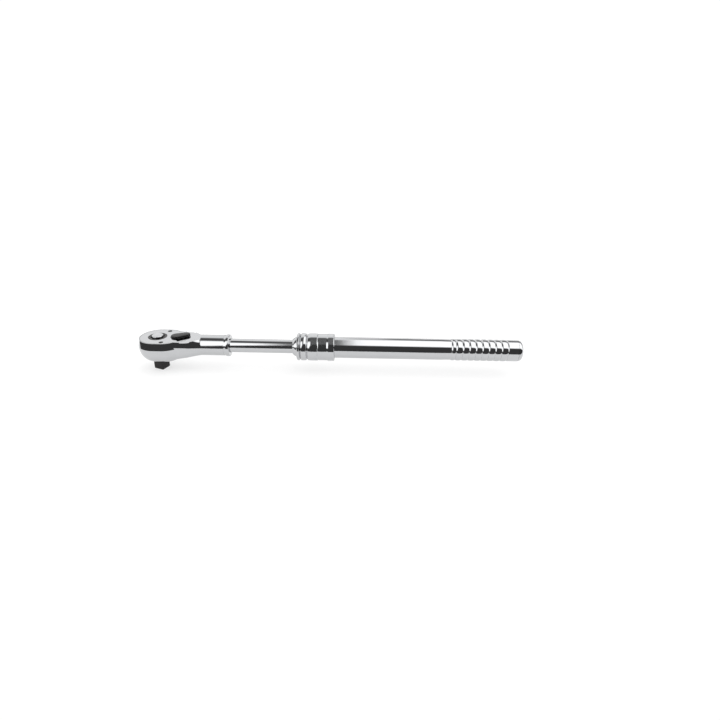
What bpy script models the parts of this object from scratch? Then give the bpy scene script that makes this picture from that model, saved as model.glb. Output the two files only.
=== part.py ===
"""Extendable reversible ratchet handle with a half-inch square drive and a quick-release button.

The origin is the centre of the drive square's end face. +Z points up to the lever side of the
head, +X runs along the handle away from the drive, and every size below is in millimetres.
"""
import math

import bmesh
import bpy
from mathutils import Matrix, Vector

MM = 0.001
SEGMENTS = 32
GAP = 0.3

# Drive end
SQUARE_SIDE = 12.7
SQUARE_LENGTH = 14.7
SQUARE_TURN = -22.0
SQUARE_TIP_CHAMFER = 1.2
SQUARE_CORNER = 0.9
BALL_RADIUS = 2.0
BALL_PROUD = 0.8
BALL_HEIGHT = 6.0
BALL_LIP = 0.3
BALL_MOUTH_SPARE = 0.1
BALL_SIDE = SQUARE_TURN + 180.0
ROD_RADIUS = 2.8
ROD_NECK_RADIUS = 1.6
ROD_SEAT_DEPTH = 2.1
BUTTON_TRAVEL = 3.0

# Ratchet head
HEAD_RADIUS = 22.7
HEAD_REAR = 0.6
HEAD_FRONT = 9.0
HEAD_HEIGHT = 25.2
UPPER_WALL = 8.2
DRAFT = math.tan(math.radians(11.0))
BOWL_POWER = 2.5
BOWL_SPARE_DEPTH = 3.2
MILLING_SPARE = 1.4
UNDERSIDE = SQUARE_LENGTH
TOP_FACE = UNDERSIDE + HEAD_HEIGHT
PARTING = TOP_FACE - UPPER_WALL
FLOOR_THICKNESS = 3.8
CAVITY_FLOOR = UNDERSIDE + FLOOR_THICKNESS
PLATE_THICKNESS = 2.5
PLATE_BOTTOM = TOP_FACE - PLATE_THICKNESS
PLATE_RADIUS = 19.9
PLATE_LOBE_RADIUS = 14.3
SCREW_X = 9.2
SCREW_Y = 16.1
SCREW_HEAD_RADIUS = 2.2
SCREW_RADIUS = 1.3
SCREW_LENGTH = 8.0
SCREW_SEAT = 1.5
SCREW_SLOT_ARM = 1.3
SCREW_SLOT_HALF = 0.3
SCREW_SLOT_DEPTH = 0.9
TAPPED_DEPTH = 10.6

# Gear train
TEETH = 36
GEAR_TIP = 13.5
CAVITY_RADIUS = GEAR_TIP + 1.5
WASHER_RADIUS = CAVITY_RADIUS - 0.4
TOOTH_DEPTH = 1.2
TOOTH_ROOT_HALF = 3.6
TOOTH_TIP_HALF = 1.2
WASHER_THICKNESS = 0.7
GEAR_BOTTOM = CAVITY_FLOOR + WASHER_THICKNESS + 2 * GAP
GEAR_HEIGHT = 15.0
GEAR_TOP = GEAR_BOTTOM + GEAR_HEIGHT
JOURNAL_RADIUS = 9.8
BOSS_RADIUS = 10.3
BUTTON_RADIUS = 6.4
BUTTON_FLANGE_RADIUS = 7.6
RING_GROOVE_RADIUS = BUTTON_FLANGE_RADIUS + 0.9
BUTTON_PROUD = 2.1
BUTTON_FLANGE_TOP = TOP_FACE - 1.9
BUTTON_FLANGE = 1.9
BUTTON_WELL_FLOOR = TOP_FACE - 10.1
BUTTON_WIRE = 0.6

# Reversing gear
PIVOT_X = 21.6
LEVER_THROW = 27.0
LEVER_HUB_RADIUS = 6.0
LEVER_TIP_RADIUS = 4.3
LEVER_REACH = 15.8
LEVER_CLEARANCE = 0.8
LEVER_EDGE = 0.7
LEVER_PROUD = 2.2
LEVER_SKIN = 0.6
LEVER_PIN_HEIGHT = 1.25
LEVER_PIN_RADIUS = 0.4
RECESS_DEPTH = 0.8
RECESS_FLOOR = TOP_FACE - RECESS_DEPTH
RECESS_START = 30.5
RECESS_END = 40.4
SHAFT_RADIUS = 3.6
SHAFT_NECK_RADIUS = 4.0
SHAFT_FLANGE_RADIUS = 5.4
SHAFT_FLANGE = 1.3
SHAFT_FOOT_RADIUS = 3.0
SHAFT_FOOT_DEPTH = 1.8
TANG_SIDE = 4.4
POCKET_RADIUS = 11.0
POCKET_FLOOR = CAVITY_FLOOR + 1.7
PAWL_ROCK = 6.0
PAWL_TAIL_RADIUS = 9.5
PAWL_HALF_WIDTH = 8.8
PAWL_FRONT = 12.0
PLUNGER_RADIUS = 1.7
PLUNGER_WIRE = 0.45
CAM_NOTCH_RADIUS = 1.3
CAM_NOTCH_REACH = 4.3
HORN_POCKET_START = 8.0

# Neck and shank of the head forging
SHANK_RADIUS = 12.0
SHANK_AXIS = UNDERSIDE + 15.6
LOBE_HALF_WIDTH = 17.3
LOBE_LIFT = 1.7
LOBE_POWER = 3.6
NECK_START = 34.0
NECK_END = 52.0
NECK_FLOOR_START = 16.0
NECK_FLOOR_RUN = 26.0
NECK_FLOOR_LIFT = 0.1
FLAT_END = 51.0
SHANK_END = 77.4
COLLAR_END = 83.7
COLLAR_RADIUS = 12.7
ROD_PIN_X = 66.0
ROD_PIN_RADIUS = 2.0

# Telescoping rod and lock
ROD_OUTER = 8.0
ROD_SOCKET_DEPTH = 25.7
NOSE_FRONT = 156.5
NOSE_LENGTH = 5.0
NOSE_TIP_RADIUS = ROD_OUTER + 1.5
GUIDE_RADIUS = ROD_OUTER + 3.7
SLEEVE_FRONT = NOSE_FRONT + NOSE_LENGTH
SLEEVE_LENGTH = 43.5
SLEEVE_RADIUS = GUIDE_RADIUS + 4.2
SLEEVE_TRAVEL = 6.0
LOCK_BALL_RADIUS = 2.5
LOCK_BALL_X = SLEEVE_FRONT + 18.5
LOCK_BALL_LIFT = 1.8
POCKET_PITCH = 10.0
POCKET_COUNT = 7
POCKET_DEPTH = 1.5
STOP_RING_LENGTH = 5.4
CLIP_GROOVE_RADIUS = ROD_OUTER - 1.1
CLIP_RADIUS = ROD_OUTER + 1.4
CLIP_BORE = ROD_OUTER - 0.8
CLIP_THICKNESS = 1.3
ROD_END_CHAMFER = 0.8
KEY_RADIUS = 1.2
KEY_SLOT_HALF = 1.6
KEY_SLOT_DEPTH = 1.6
KEY_SLOT_SPARE = 2.5
SPRING_CHAMBER_RADIUS = GUIDE_RADIUS + 2.6
SPRING_CHAMBER_START = 24.5
SPRING_STOP_RADIUS = GUIDE_RADIUS + 2.3
SPRING_STOP_LENGTH = 1.4
SLEEVE_WIRE = 0.9
END_RING_LENGTH = 2.5
WAIST_START = 26.0
WAIST_LENGTH = 15.0
WAIST_DEPTH = 0.85

# Handle tube
TUBE_FRONT = SLEEVE_FRONT + 39.2
KEY_X = TUBE_FRONT + 9.3
TUBE_BORE = ROD_OUTER + 2.1
TUBE_RADIUS = TUBE_BORE + 2.2
SPIGOT_LENGTH = 25.3
RIB_LEAD_IN = 340.2
RIB_FIRST = 345.5
RIB_PITCH = 7.5
RIB_COUNT = 9
RIB_PEAK = TUBE_RADIUS + 0.4
RIB_VALLEY = TUBE_RADIUS - 0.35
RIM_RADIUS = RIB_PEAK - 0.2
TUBE_END = 418.0
PLUG_DEPTH = 9.0
PLUG_RADIUS = RIM_RADIUS - 0.2
HANDLE_END = 423.5
END_CORNER = 4.5

FINISHES = {
    "chrome_plate": ((0.80, 0.80, 0.82), 0.08),
    "black_oxide": ((0.035, 0.033, 0.032), 0.35),
    "ground_steel": ((0.56, 0.55, 0.53), 0.25),
    "spring_steel": ((0.38, 0.37, 0.36), 0.3),
}


def clear_scene():
    """Remove every object that the open file holds."""
    for item in list(bpy.data.objects):
        bpy.data.objects.remove(item, do_unlink=True)


def new_collection(name):
    """Make a collection under the scene's own."""
    made = bpy.data.collections.new(name)
    bpy.context.scene.collection.children.link(made)
    return made


clear_scene()
PARTS = new_collection("extendable_ratchet_handle")
CUTTERS = new_collection("cutters")


def new_material(name, finish):
    """A Principled material of one of the tool's finishes, for one piece."""
    colour, roughness = FINISHES[finish]
    made = bpy.data.materials.new(name + "_" + finish)
    made.use_nodes = True
    shader = made.node_tree.nodes["Principled BSDF"]
    shader.inputs["Base Color"].default_value = (*colour, 1.0)
    shader.inputs["Roughness"].default_value = roughness
    shader.inputs["Metallic"].default_value = 1.0
    return made


def place(name, data, finish, location=(0, 0, 0), rotation=(0, 0, 0)):
    """Link mesh or curve data as a piece, or as a cutter when it has no finish."""
    item = bpy.data.objects.new(name, data)
    item.location = Vector(location) * MM
    item.rotation_euler = [math.radians(angle) for angle in rotation]
    if finish:
        PARTS.objects.link(item)
        data.materials.append(new_material(name, finish))
    else:
        CUTTERS.objects.link(item)
        item.hide_render = True
        item.display_type = "WIRE"
    return item


def spun(name, finish, outer, bore=(), location=(0, 0, 0), rotation=(0, 0, 0), steps=SEGMENTS):
    """Turn a profile about local Z. Both lists hold (position, radius) with position rising."""
    loop = [(radius, position) for position, radius in reversed(outer)]
    if bore:
        loop += [(radius, position) for position, radius in bore]
    else:
        loop = [(0.0, outer[-1][0])] + loop + [(0.0, outer[0][0])]
    edges = [(index, index + 1) for index in range(len(loop) - 1)]
    if bore:
        edges.append((len(loop) - 1, 0))
    mesh = bpy.data.meshes.new(name)
    mesh.from_pydata([(radius * MM, 0, position * MM) for radius, position in loop], edges, [])
    item = place(name, mesh, finish, location, rotation)
    screw = item.modifiers.new("turn", "SCREW")
    screw.steps = steps
    screw.render_steps = steps
    screw.use_merge_vertices = True
    screw.merge_threshold = 1e-6
    screw.use_smooth_shade = steps > 8
    return item


def spun_on_handle(name, finish, outer, bore=(), steps=SEGMENTS):
    """Turn a profile about the handle's axis. Positions are distances from the drive axis."""
    return spun(name, finish, outer, bore, (0, 0, SHANK_AXIS), (0, 90, 0), steps)


def extruded(name, finish, outline, bottom, top, location=(0, 0, 0), turn=0.0):
    """Raise a flat outline from one height to another."""
    flat = bpy.data.curves.new(name, "CURVE")
    flat.dimensions = "2D"
    flat.fill_mode = "BOTH"
    flat.extrude = (top - bottom) * MM / 2
    spline = flat.splines.new("POLY")
    spline.points.add(len(outline) - 1)
    for point, (x, y) in zip(spline.points, outline):
        point.co = (x * MM, y * MM, 0, 1)
    spline.use_cyclic_u = True
    middle = Vector(location) + Vector((0, 0, (top + bottom) / 2))
    drawn = place(name, flat, None, middle, (0, 0, turn))
    return mesh_from_curve(drawn, name, finish, middle, turn)


def mesh_from_curve(drawn, name, finish, location, turn):
    """Swap a curve object for its welded mesh, so that it can be cut."""
    bpy.context.view_layer.update()
    mesh = bpy.data.meshes.new_from_object(drawn.evaluated_get(bpy.context.evaluated_depsgraph_get()))
    bpy.data.objects.remove(drawn)
    welded = bmesh.new()
    welded.from_mesh(mesh)
    bmesh.ops.remove_doubles(welded, verts=welded.verts, dist=1e-6)
    bmesh.ops.recalc_face_normals(welded, faces=welded.faces)
    welded.to_mesh(mesh)
    welded.free()
    mesh.name = name
    mesh.materials.clear()
    return place(name, mesh, finish, location, (0, 0, turn))


def cylinder(name, finish, radius, start, end, sides=24):
    """A round bar between two points."""
    start, end = Vector(start), Vector(end)
    axis = end - start
    turn = axis.to_track_quat("Z", "Y").to_matrix().to_4x4()
    shape = bmesh.new()
    bmesh.ops.create_cone(
        shape,
        cap_ends=True,
        segments=sides,
        radius1=radius * MM,
        radius2=radius * MM,
        depth=axis.length * MM,
        matrix=turn,
    )
    mesh = bpy.data.meshes.new(name)
    shape.to_mesh(mesh)
    shape.free()
    mesh.shade_smooth()
    mesh.set_sharp_from_angle(angle=math.radians(40))
    return place(name, mesh, finish, (start + end) / 2)


def sphere(name, finish, radius, location):
    """A steel ball, or the spherical dimple for one."""
    shape = bmesh.new()
    bmesh.ops.create_uvsphere(shape, u_segments=14, v_segments=8, radius=radius * MM)
    mesh = bpy.data.meshes.new(name)
    shape.to_mesh(mesh)
    shape.free()
    mesh.shade_smooth()
    return place(name, mesh, finish, location)


def block(name, finish, low, high, location=(0, 0, 0), turn=0.0):
    """A rectangular block between two corners, in the frame of its location and turn."""
    low, high = Vector(low), Vector(high)
    size = (high - low) * MM
    centre = (high + low) * MM / 2
    shape = bmesh.new()
    bmesh.ops.create_cube(shape, size=1.0, matrix=Matrix.LocRotScale(centre, None, size))
    mesh = bpy.data.meshes.new(name)
    shape.to_mesh(mesh)
    shape.free()
    return place(name, mesh, finish, location, (0, 0, turn))


def coil(name, radius, wire, bottom, top, turns, location=(0, 0, 0), rotation=(0, 0, 0)):
    """A compression spring about local Z between two heights."""
    curve = bpy.data.curves.new(name, "CURVE")
    curve.dimensions = "3D"
    curve.bevel_depth = wire / 2 * MM
    curve.bevel_resolution = 2
    curve.use_fill_caps = True
    count = int(turns * 10)
    spline = curve.splines.new("POLY")
    spline.points.add(count)
    rise = top - bottom - wire
    for index, point in enumerate(spline.points):
        share = index / count
        angle = share * turns * math.tau
        height = bottom + wire / 2 + rise * share
        point.co = (radius * math.cos(angle) * MM, radius * math.sin(angle) * MM, height * MM, 1)
    return place(name, curve, "spring_steel", location, rotation)


def boolean(target, tool, operation="DIFFERENCE"):
    """Cut a tool from a piece, or join it on."""
    step = target.modifiers.new(tool.name, "BOOLEAN")
    step.operation = operation
    step.solver = "EXACT"
    step.object = tool


def cut_all(target, tools):
    """Cut several tools from a piece, one after another."""
    for tool in tools:
        boolean(target, tool)


def smoothstep(value):
    """Ease from 0 to 1 with level ends."""
    value = min(1.0, max(0.0, value))
    return value * value * (3 - 2 * value)


def capsule(first_radius, second_radius, distance, points=14):
    """The outline around two circles, the first at the origin, the second further along X."""
    lean = math.acos((first_radius - second_radius) / distance)
    outline = []
    for index in range(points + 1):
        angle = -lean + 2 * lean * index / points
        outline.append((distance + second_radius * math.cos(angle), second_radius * math.sin(angle)))
    for index in range(2 * points + 1):
        angle = lean + (math.tau - 2 * lean) * index / (2 * points)
        outline.append((first_radius * math.cos(angle), first_radius * math.sin(angle)))
    return outline


def bowl_profile():
    """Half widths of the head from its underside up: a deep bowl, the parting line, a drafted wall."""
    depth = PARTING - UNDERSIDE + BOWL_SPARE_DEPTH
    profile = []
    for index in range(7):
        height = UNDERSIDE + (PARTING - UNDERSIDE) * (index / 6) ** 1.6
        fall = max(0.0, PARTING - height) / depth
        profile.append((height, HEAD_RADIUS * (1 - fall**BOWL_POWER) ** (1 / BOWL_POWER)))
    wall = UPPER_WALL + MILLING_SPARE
    profile.append((PARTING + wall, HEAD_RADIUS - DRAFT * wall))
    return profile


def oblong(radius, count=SEGMENTS + 8):
    """The head's plan at one height: two half circles and the straight flanks between them."""
    outline = []
    for index in range(count):
        angle = math.tau * (index + 0.5) / count - math.pi / 2
        centre = HEAD_FRONT if math.cos(angle) > 0 else HEAD_REAR
        outline.append((centre + radius * math.cos(angle), radius * math.sin(angle)))
    return outline


def lofted(name, finish, rings):
    """Join rings of equal count, which may differ in shape, into one closed solid."""
    shape = bmesh.new()
    made = [[shape.verts.new(Vector(point) * MM) for point in ring] for ring in rings]
    for near, far in zip(made, made[1:]):
        for index in range(len(near)):
            following = (index + 1) % len(near)
            shape.faces.new((near[index], far[index], far[following], near[following]))
    shape.faces.new(made[0])
    shape.faces.new(made[-1])
    bmesh.ops.recalc_face_normals(shape, faces=shape.faces)
    mesh = bpy.data.meshes.new(name)
    shape.to_mesh(mesh)
    shape.free()
    return place(name, mesh, finish)


def plate_outline(clearance):
    """The cover plate's plan: the head's oblong carried on by a round lobe over the pawl."""
    radius, lobe = PLATE_RADIUS + clearance, PLATE_LOBE_RADIUS + clearance
    lean = math.acos((radius - lobe) / (PIVOT_X - HEAD_FRONT))
    outline = []
    for index in range(13):
        angle = -lean + 2 * lean * index / 12
        outline.append((PIVOT_X + lobe * math.cos(angle), lobe * math.sin(angle)))
    for index in range(29):
        angle = lean + (math.tau - 2 * lean) * index / 28
        centre = HEAD_FRONT if math.cos(angle) > 0 else HEAD_REAR
        outline.append((centre + radius * math.cos(angle), radius * math.sin(angle)))
    return outline


def neck_section(x):
    """One section across the neck: a flat-topped lobe by the head, a circle at the shank."""
    blend = smoothstep((x - NECK_START) / (NECK_END - NECK_START))
    crease = PARTING + LOBE_LIFT
    slope = smoothstep((x - NECK_FLOOR_START) / NECK_FLOOR_RUN)
    bottom = UNDERSIDE + NECK_FLOOR_LIFT + (SHANK_AXIS - SHANK_RADIUS - UNDERSIDE) * slope
    points = []
    for index in range(SEGMENTS):
        angle = math.tau * index / SEGMENTS
        across, up = math.cos(angle), math.sin(angle)
        if up >= 0:
            rise = (TOP_FACE + MILLING_SPARE - crease) * min(1.0, math.sqrt(2) * up)
            half = LOBE_HALF_WIDTH - DRAFT * rise
            lobe = (half * max(-1.0, min(1.0, math.sqrt(2) * across)), crease + rise)
        else:
            half = math.copysign(LOBE_HALF_WIDTH * abs(across) ** (2 / LOBE_POWER), across)
            lobe = (half, crease - (crease - bottom) * abs(up) ** (2 / LOBE_POWER))
        circle = (SHANK_RADIUS * across, SHANK_AXIS + SHANK_RADIUS * up)
        side, height = [flat + (turned - flat) * blend for flat, turned in zip(lobe, circle)]
        points.append((x, side, height))
    return points


def swing_recess(name):
    """The fan milled across the neck, in which the lever swings."""
    edge = 2 * LOBE_HALF_WIDTH
    hub = LEVER_HUB_RADIUS + LEVER_CLEARANCE
    fan = [(PIVOT_X, -hub), (RECESS_START, -LOBE_HALF_WIDTH), (RECESS_START, -edge), (RECESS_END, -edge)]
    fan += [(x, -y) for x, y in reversed(fan)]
    recess = extruded(name, None, fan, RECESS_FLOOR, TOP_FACE + 10)
    low, high = (PIVOT_X, 0, RECESS_FLOOR), (PIVOT_X, 0, TOP_FACE + 10)
    boolean(recess, cylinder(name + "_hub", None, hub, low, high), "UNION")
    return recess


def make_head_body():
    """The chrome-plated forging: round head, neck, shank and collar, hollowed for the works."""
    rings = [[(*point, height) for point in oblong(radius)] for height, radius in bowl_profile()]
    body = lofted("head_body", "chrome_plate", rings)
    stations = [4, 12, 16, 20, 24, 28, 32, 34, 36, 38, 40, 42, 44, 46, 48, 50, NECK_END, SHANK_END]
    boolean(body, lofted("neck_shape", None, [neck_section(x) for x in stations]), "UNION")
    collar = [
        (SHANK_END - 3, SHANK_RADIUS - 1.0),
        (SHANK_END - 0.4, SHANK_RADIUS - 0.3),
        (SHANK_END + 1, SHANK_RADIUS - 0.2),
        (SHANK_END + 3, COLLAR_RADIUS - 0.2),
        (SHANK_END + 4, COLLAR_RADIUS),
        (COLLAR_END - 1.2, COLLAR_RADIUS),
        (COLLAR_END - 0.3, COLLAR_RADIUS - 0.3),
        (COLLAR_END, COLLAR_RADIUS - 1),
    ]
    boolean(body, spun_on_handle("collar_shape", None, collar), "UNION")
    boolean(body, block("top_flat", None, (-30, -30, TOP_FACE), (FLAT_END, 30, TOP_FACE + 20)))
    boolean(body, swing_recess("body_recess"))
    seat = PLATE_BOTTOM - GAP
    above = TOP_FACE + 10
    below_floor = CAVITY_FLOOR - 10
    foot = POCKET_FLOOR - SHAFT_FOOT_DEPTH
    tools = [
        extruded("plate_pocket", None, plate_outline(GAP), seat, above),
        cylinder("gear_cavity", None, CAVITY_RADIUS, (0, 0, CAVITY_FLOOR), (0, 0, above), 48),
        cylinder("pawl_pocket", None, POCKET_RADIUS, (PIVOT_X, 0, POCKET_FLOOR), (PIVOT_X, 0, above)),
        block("horn_pocket", None, (HORN_POCKET_START, -POCKET_RADIUS, POCKET_FLOOR), (PIVOT_X, POCKET_RADIUS, above)),
        cylinder("drive_hole", None, JOURNAL_RADIUS + GAP, (0, 0, below_floor), (0, 0, above), 40),
        cylinder("shaft_hole", None, SHAFT_FOOT_RADIUS + GAP, (PIVOT_X, 0, foot), (PIVOT_X, 0, above)),
        cylinder("rod_socket", None, ROD_OUTER + GAP, socket_point(), handle_point(COLLAR_END + 5), 40),
        cylinder("pin_hole", None, ROD_PIN_RADIUS + GAP, (ROD_PIN_X, 0, 0), handle_point(ROD_PIN_X), 16),
    ]
    for side in (-1, 1):
        at = (SCREW_X, side * SCREW_Y)
        low, high = (*at, TOP_FACE - TAPPED_DEPTH), (*at, above)
        tools.append(cylinder("tapped_hole", None, SCREW_RADIUS + GAP, low, high, 12))
    cut_all(body, tools)
    low, high = (ROD_PIN_X, 0, SHANK_AXIS - SHANK_RADIUS + 0.1), (ROD_PIN_X, 0, SHANK_AXIS - 0.4)
    cylinder("rod_pin", "ground_steel", ROD_PIN_RADIUS, low, high, 16)


def handle_point(x):
    """A point on the handle's axis."""
    return (x, 0, SHANK_AXIS)


def socket_point():
    """The bottom of the shank's socket for the rod."""
    return handle_point(COLLAR_END - ROD_SOCKET_DEPTH)


def make_cover():
    """The steel cover plate, flush in the head's top face, and its two cross-head screws."""
    plate = extruded("cover_plate", "chrome_plate", plate_outline(0), PLATE_BOTTOM, TOP_FACE)
    above = TOP_FACE + 10
    tools = [
        swing_recess("plate_recess"),
        cylinder("boss_hole", None, BOSS_RADIUS + GAP, (0, 0, 0), (0, 0, above), 40),
        cylinder("neck_hole", None, SHAFT_NECK_RADIUS + GAP, (PIVOT_X, 0, 0), (PIVOT_X, 0, above)),
    ]
    for side, place_name in ((-1, "front"), (1, "rear")):
        at = (SCREW_X, side * SCREW_Y)
        head_bottom = TOP_FACE - SCREW_SEAT
        tools.append(cylinder("screw_hole", None, SCREW_RADIUS + GAP, (*at, 0), (*at, above), 16))
        low, high = (*at, head_bottom - GAP), (*at, above)
        tools.append(cylinder("head_seat", None, SCREW_HEAD_RADIUS + GAP, low, high))
        profile = [
            (TOP_FACE - SCREW_LENGTH - 0.1, SCREW_RADIUS - 0.4),
            (TOP_FACE - SCREW_LENGTH + 0.4, SCREW_RADIUS),
            (head_bottom, SCREW_RADIUS),
            (head_bottom, SCREW_HEAD_RADIUS),
            (TOP_FACE - 0.5, SCREW_HEAD_RADIUS),
            (TOP_FACE - 0.1, SCREW_HEAD_RADIUS - 0.5),
        ]
        screw = spun("cover_screw_" + place_name, "black_oxide", profile, location=(*at, 0), steps=24)
        low = TOP_FACE - SCREW_SLOT_DEPTH
        for x, y in ((SCREW_SLOT_ARM, SCREW_SLOT_HALF), (SCREW_SLOT_HALF, SCREW_SLOT_ARM)):
            boolean(screw, block("cross_slot", None, (-x, -y, low), (x, y, above), (*at, 0), 20))
    cut_all(plate, tools)


def gear_outline(clearance, first, last):
    """Straight-flanked teeth about the drive axis, grown by a clearance on every side."""
    pitch = 360.0 / TEETH
    spread = math.degrees(clearance / GEAR_TIP)
    root, tip = GEAR_TIP - TOOTH_DEPTH + clearance, GEAR_TIP + clearance
    shape = (
        (root, -TOOTH_ROOT_HALF - spread),
        (tip, -TOOTH_TIP_HALF - spread),
        (tip, TOOTH_TIP_HALF + spread),
        (root, TOOTH_ROOT_HALF + spread),
    )
    outline = []
    for tooth in range(first, last + 1):
        for radius, offset in shape:
            angle = math.radians(tooth * pitch + offset)
            outline.append((radius * math.cos(angle), radius * math.sin(angle)))
    return outline


def make_drive():
    """The drive gear: toothed ring, journals and square in one piece of hardened steel."""
    gear = extruded("drive_gear", "black_oxide", gear_outline(0, 0, TEETH - 1), GEAR_BOTTOM, GEAR_TOP)
    spindle = [
        (UNDERSIDE, JOURNAL_RADIUS),
        (GEAR_BOTTOM + 3, JOURNAL_RADIUS),
        (GEAR_BOTTOM + 3, BOSS_RADIUS),
        (TOP_FACE - 0.3, BOSS_RADIUS),
        (TOP_FACE, BOSS_RADIUS - 0.3),
    ]
    boolean(gear, spun("spindle_shape", None, spindle), "UNION")
    corner = SQUARE_SIDE / math.sqrt(2)
    prism = [
        (0, corner - SQUARE_TIP_CHAMFER * math.sqrt(2)),
        (SQUARE_TIP_CHAMFER, corner),
        (UNDERSIDE + 3, corner),
    ]
    square = spun("square_shape", None, prism, rotation=(0, 0, SQUARE_TURN + 45), steps=4)
    rounding = square.modifiers.new("corners", "BEVEL")
    rounding.width = SQUARE_CORNER * MM
    rounding.segments = 1
    rounding.limit_method = "ANGLE"
    rounding.angle_limit = math.radians(75)
    boolean(gear, square, "UNION")
    side = math.radians(BALL_SIDE)
    lip = SQUARE_SIDE / 2 - BALL_LIP
    inner = (lip * math.cos(side), lip * math.sin(side), BALL_HEIGHT)
    outer = (20 * math.cos(side), 20 * math.sin(side), BALL_HEIGHT)
    well = BUTTON_WELL_FLOOR
    ring_low = BUTTON_FLANGE_TOP
    tools = [
        cylinder("rod_bore", None, ROD_RADIUS + 0.35, (0, 0, 1.2), (0, 0, well + 1), 24),
        cylinder("button_well", None, BUTTON_FLANGE_RADIUS + GAP, (0, 0, well), (0, 0, TOP_FACE + 5), 40),
        cylinder("ring_groove", None, RING_GROOVE_RADIUS, (0, 0, ring_low), (0, 0, ring_low + 1), 40),
        cylinder("ball_bore", None, BALL_RADIUS + GAP, (0, 0, BALL_HEIGHT), inner, 20),
        cylinder("ball_mouth", None, BALL_RADIUS - BALL_MOUTH_SPARE, (0, 0, BALL_HEIGHT), outer, 20),
    ]
    cut_all(gear, tools)
    low = CAVITY_FLOOR + GAP
    washer = [(low, WASHER_RADIUS), (low + WASHER_THICKNESS, WASHER_RADIUS)]
    bore = [(low, JOURNAL_RADIUS + GAP), (low + WASHER_THICKNESS, JOURNAL_RADIUS + GAP)]
    spun("bottom_washer", "ground_steel", washer, bore, steps=32)
    low, high = GEAR_TOP + GAP, PLATE_BOTTOM - GAP
    inner = BOSS_RADIUS + 0.4
    outer = [(low, WASHER_RADIUS), (high, WASHER_RADIUS)]
    spun("thrust_ring", "ground_steel", outer, [(low, inner), (high, inner)], steps=32)


def make_release():
    """The quick-release button with its retaining ring, spring, rod and detent ball."""
    low = BUTTON_FLANGE_TOP - BUTTON_FLANGE
    crown = TOP_FACE + BUTTON_PROUD
    outer = [
        (low, BUTTON_FLANGE_RADIUS),
        (BUTTON_FLANGE_TOP, BUTTON_FLANGE_RADIUS),
        (BUTTON_FLANGE_TOP, BUTTON_RADIUS),
        (crown - 0.6, BUTTON_RADIUS),
        (crown - 0.2, BUTTON_RADIUS - 0.4),
        (crown, BUTTON_RADIUS - 1.4),
    ]
    button = spun("release_button", "chrome_plate", outer)
    boolean(button, cylinder("rod_seat", None, ROD_RADIUS + GAP, (0, 0, low - 1), (0, 0, crown - ROD_SEAT_DEPTH)))
    ring_low = BUTTON_FLANGE_TOP + GAP
    ring_high = ring_low + 0.4
    wide, narrow = RING_GROOVE_RADIUS - GAP, BUTTON_RADIUS + GAP
    outer = [(ring_low, wide), (ring_high, wide)]
    spun("button_retaining_ring", "black_oxide", outer, [(ring_low, narrow), (ring_high, narrow)])
    slope = (ROD_RADIUS - ROD_NECK_RADIUS) / BUTTON_TRAVEL
    neck = BALL_HEIGHT + BUTTON_TRAVEL
    rod = [
        (1.5 + BUTTON_TRAVEL, ROD_RADIUS - 0.4),
        (1.9 + BUTTON_TRAVEL, ROD_RADIUS),
        (BALL_HEIGHT, ROD_RADIUS),
        (neck, ROD_RADIUS - slope * BUTTON_TRAVEL),
        (neck + 2, ROD_NECK_RADIUS),
        (neck + 3.2, ROD_RADIUS),
        (crown - ROD_SEAT_DEPTH - GAP, ROD_RADIUS),
    ]
    spun("release_rod", "ground_steel", rod, steps=24)
    coil("button_spring", BUTTON_FLANGE_RADIUS - 1.4, BUTTON_WIRE, BUTTON_WELL_FLOOR + GAP, low - GAP, 3)
    side = math.radians(BALL_SIDE)
    reach = SQUARE_SIDE / 2 + BALL_PROUD - BALL_RADIUS
    centre = (reach * math.cos(side), reach * math.sin(side), BALL_HEIGHT)
    sphere("socket_detent_ball", "ground_steel", BALL_RADIUS, centre)


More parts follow.
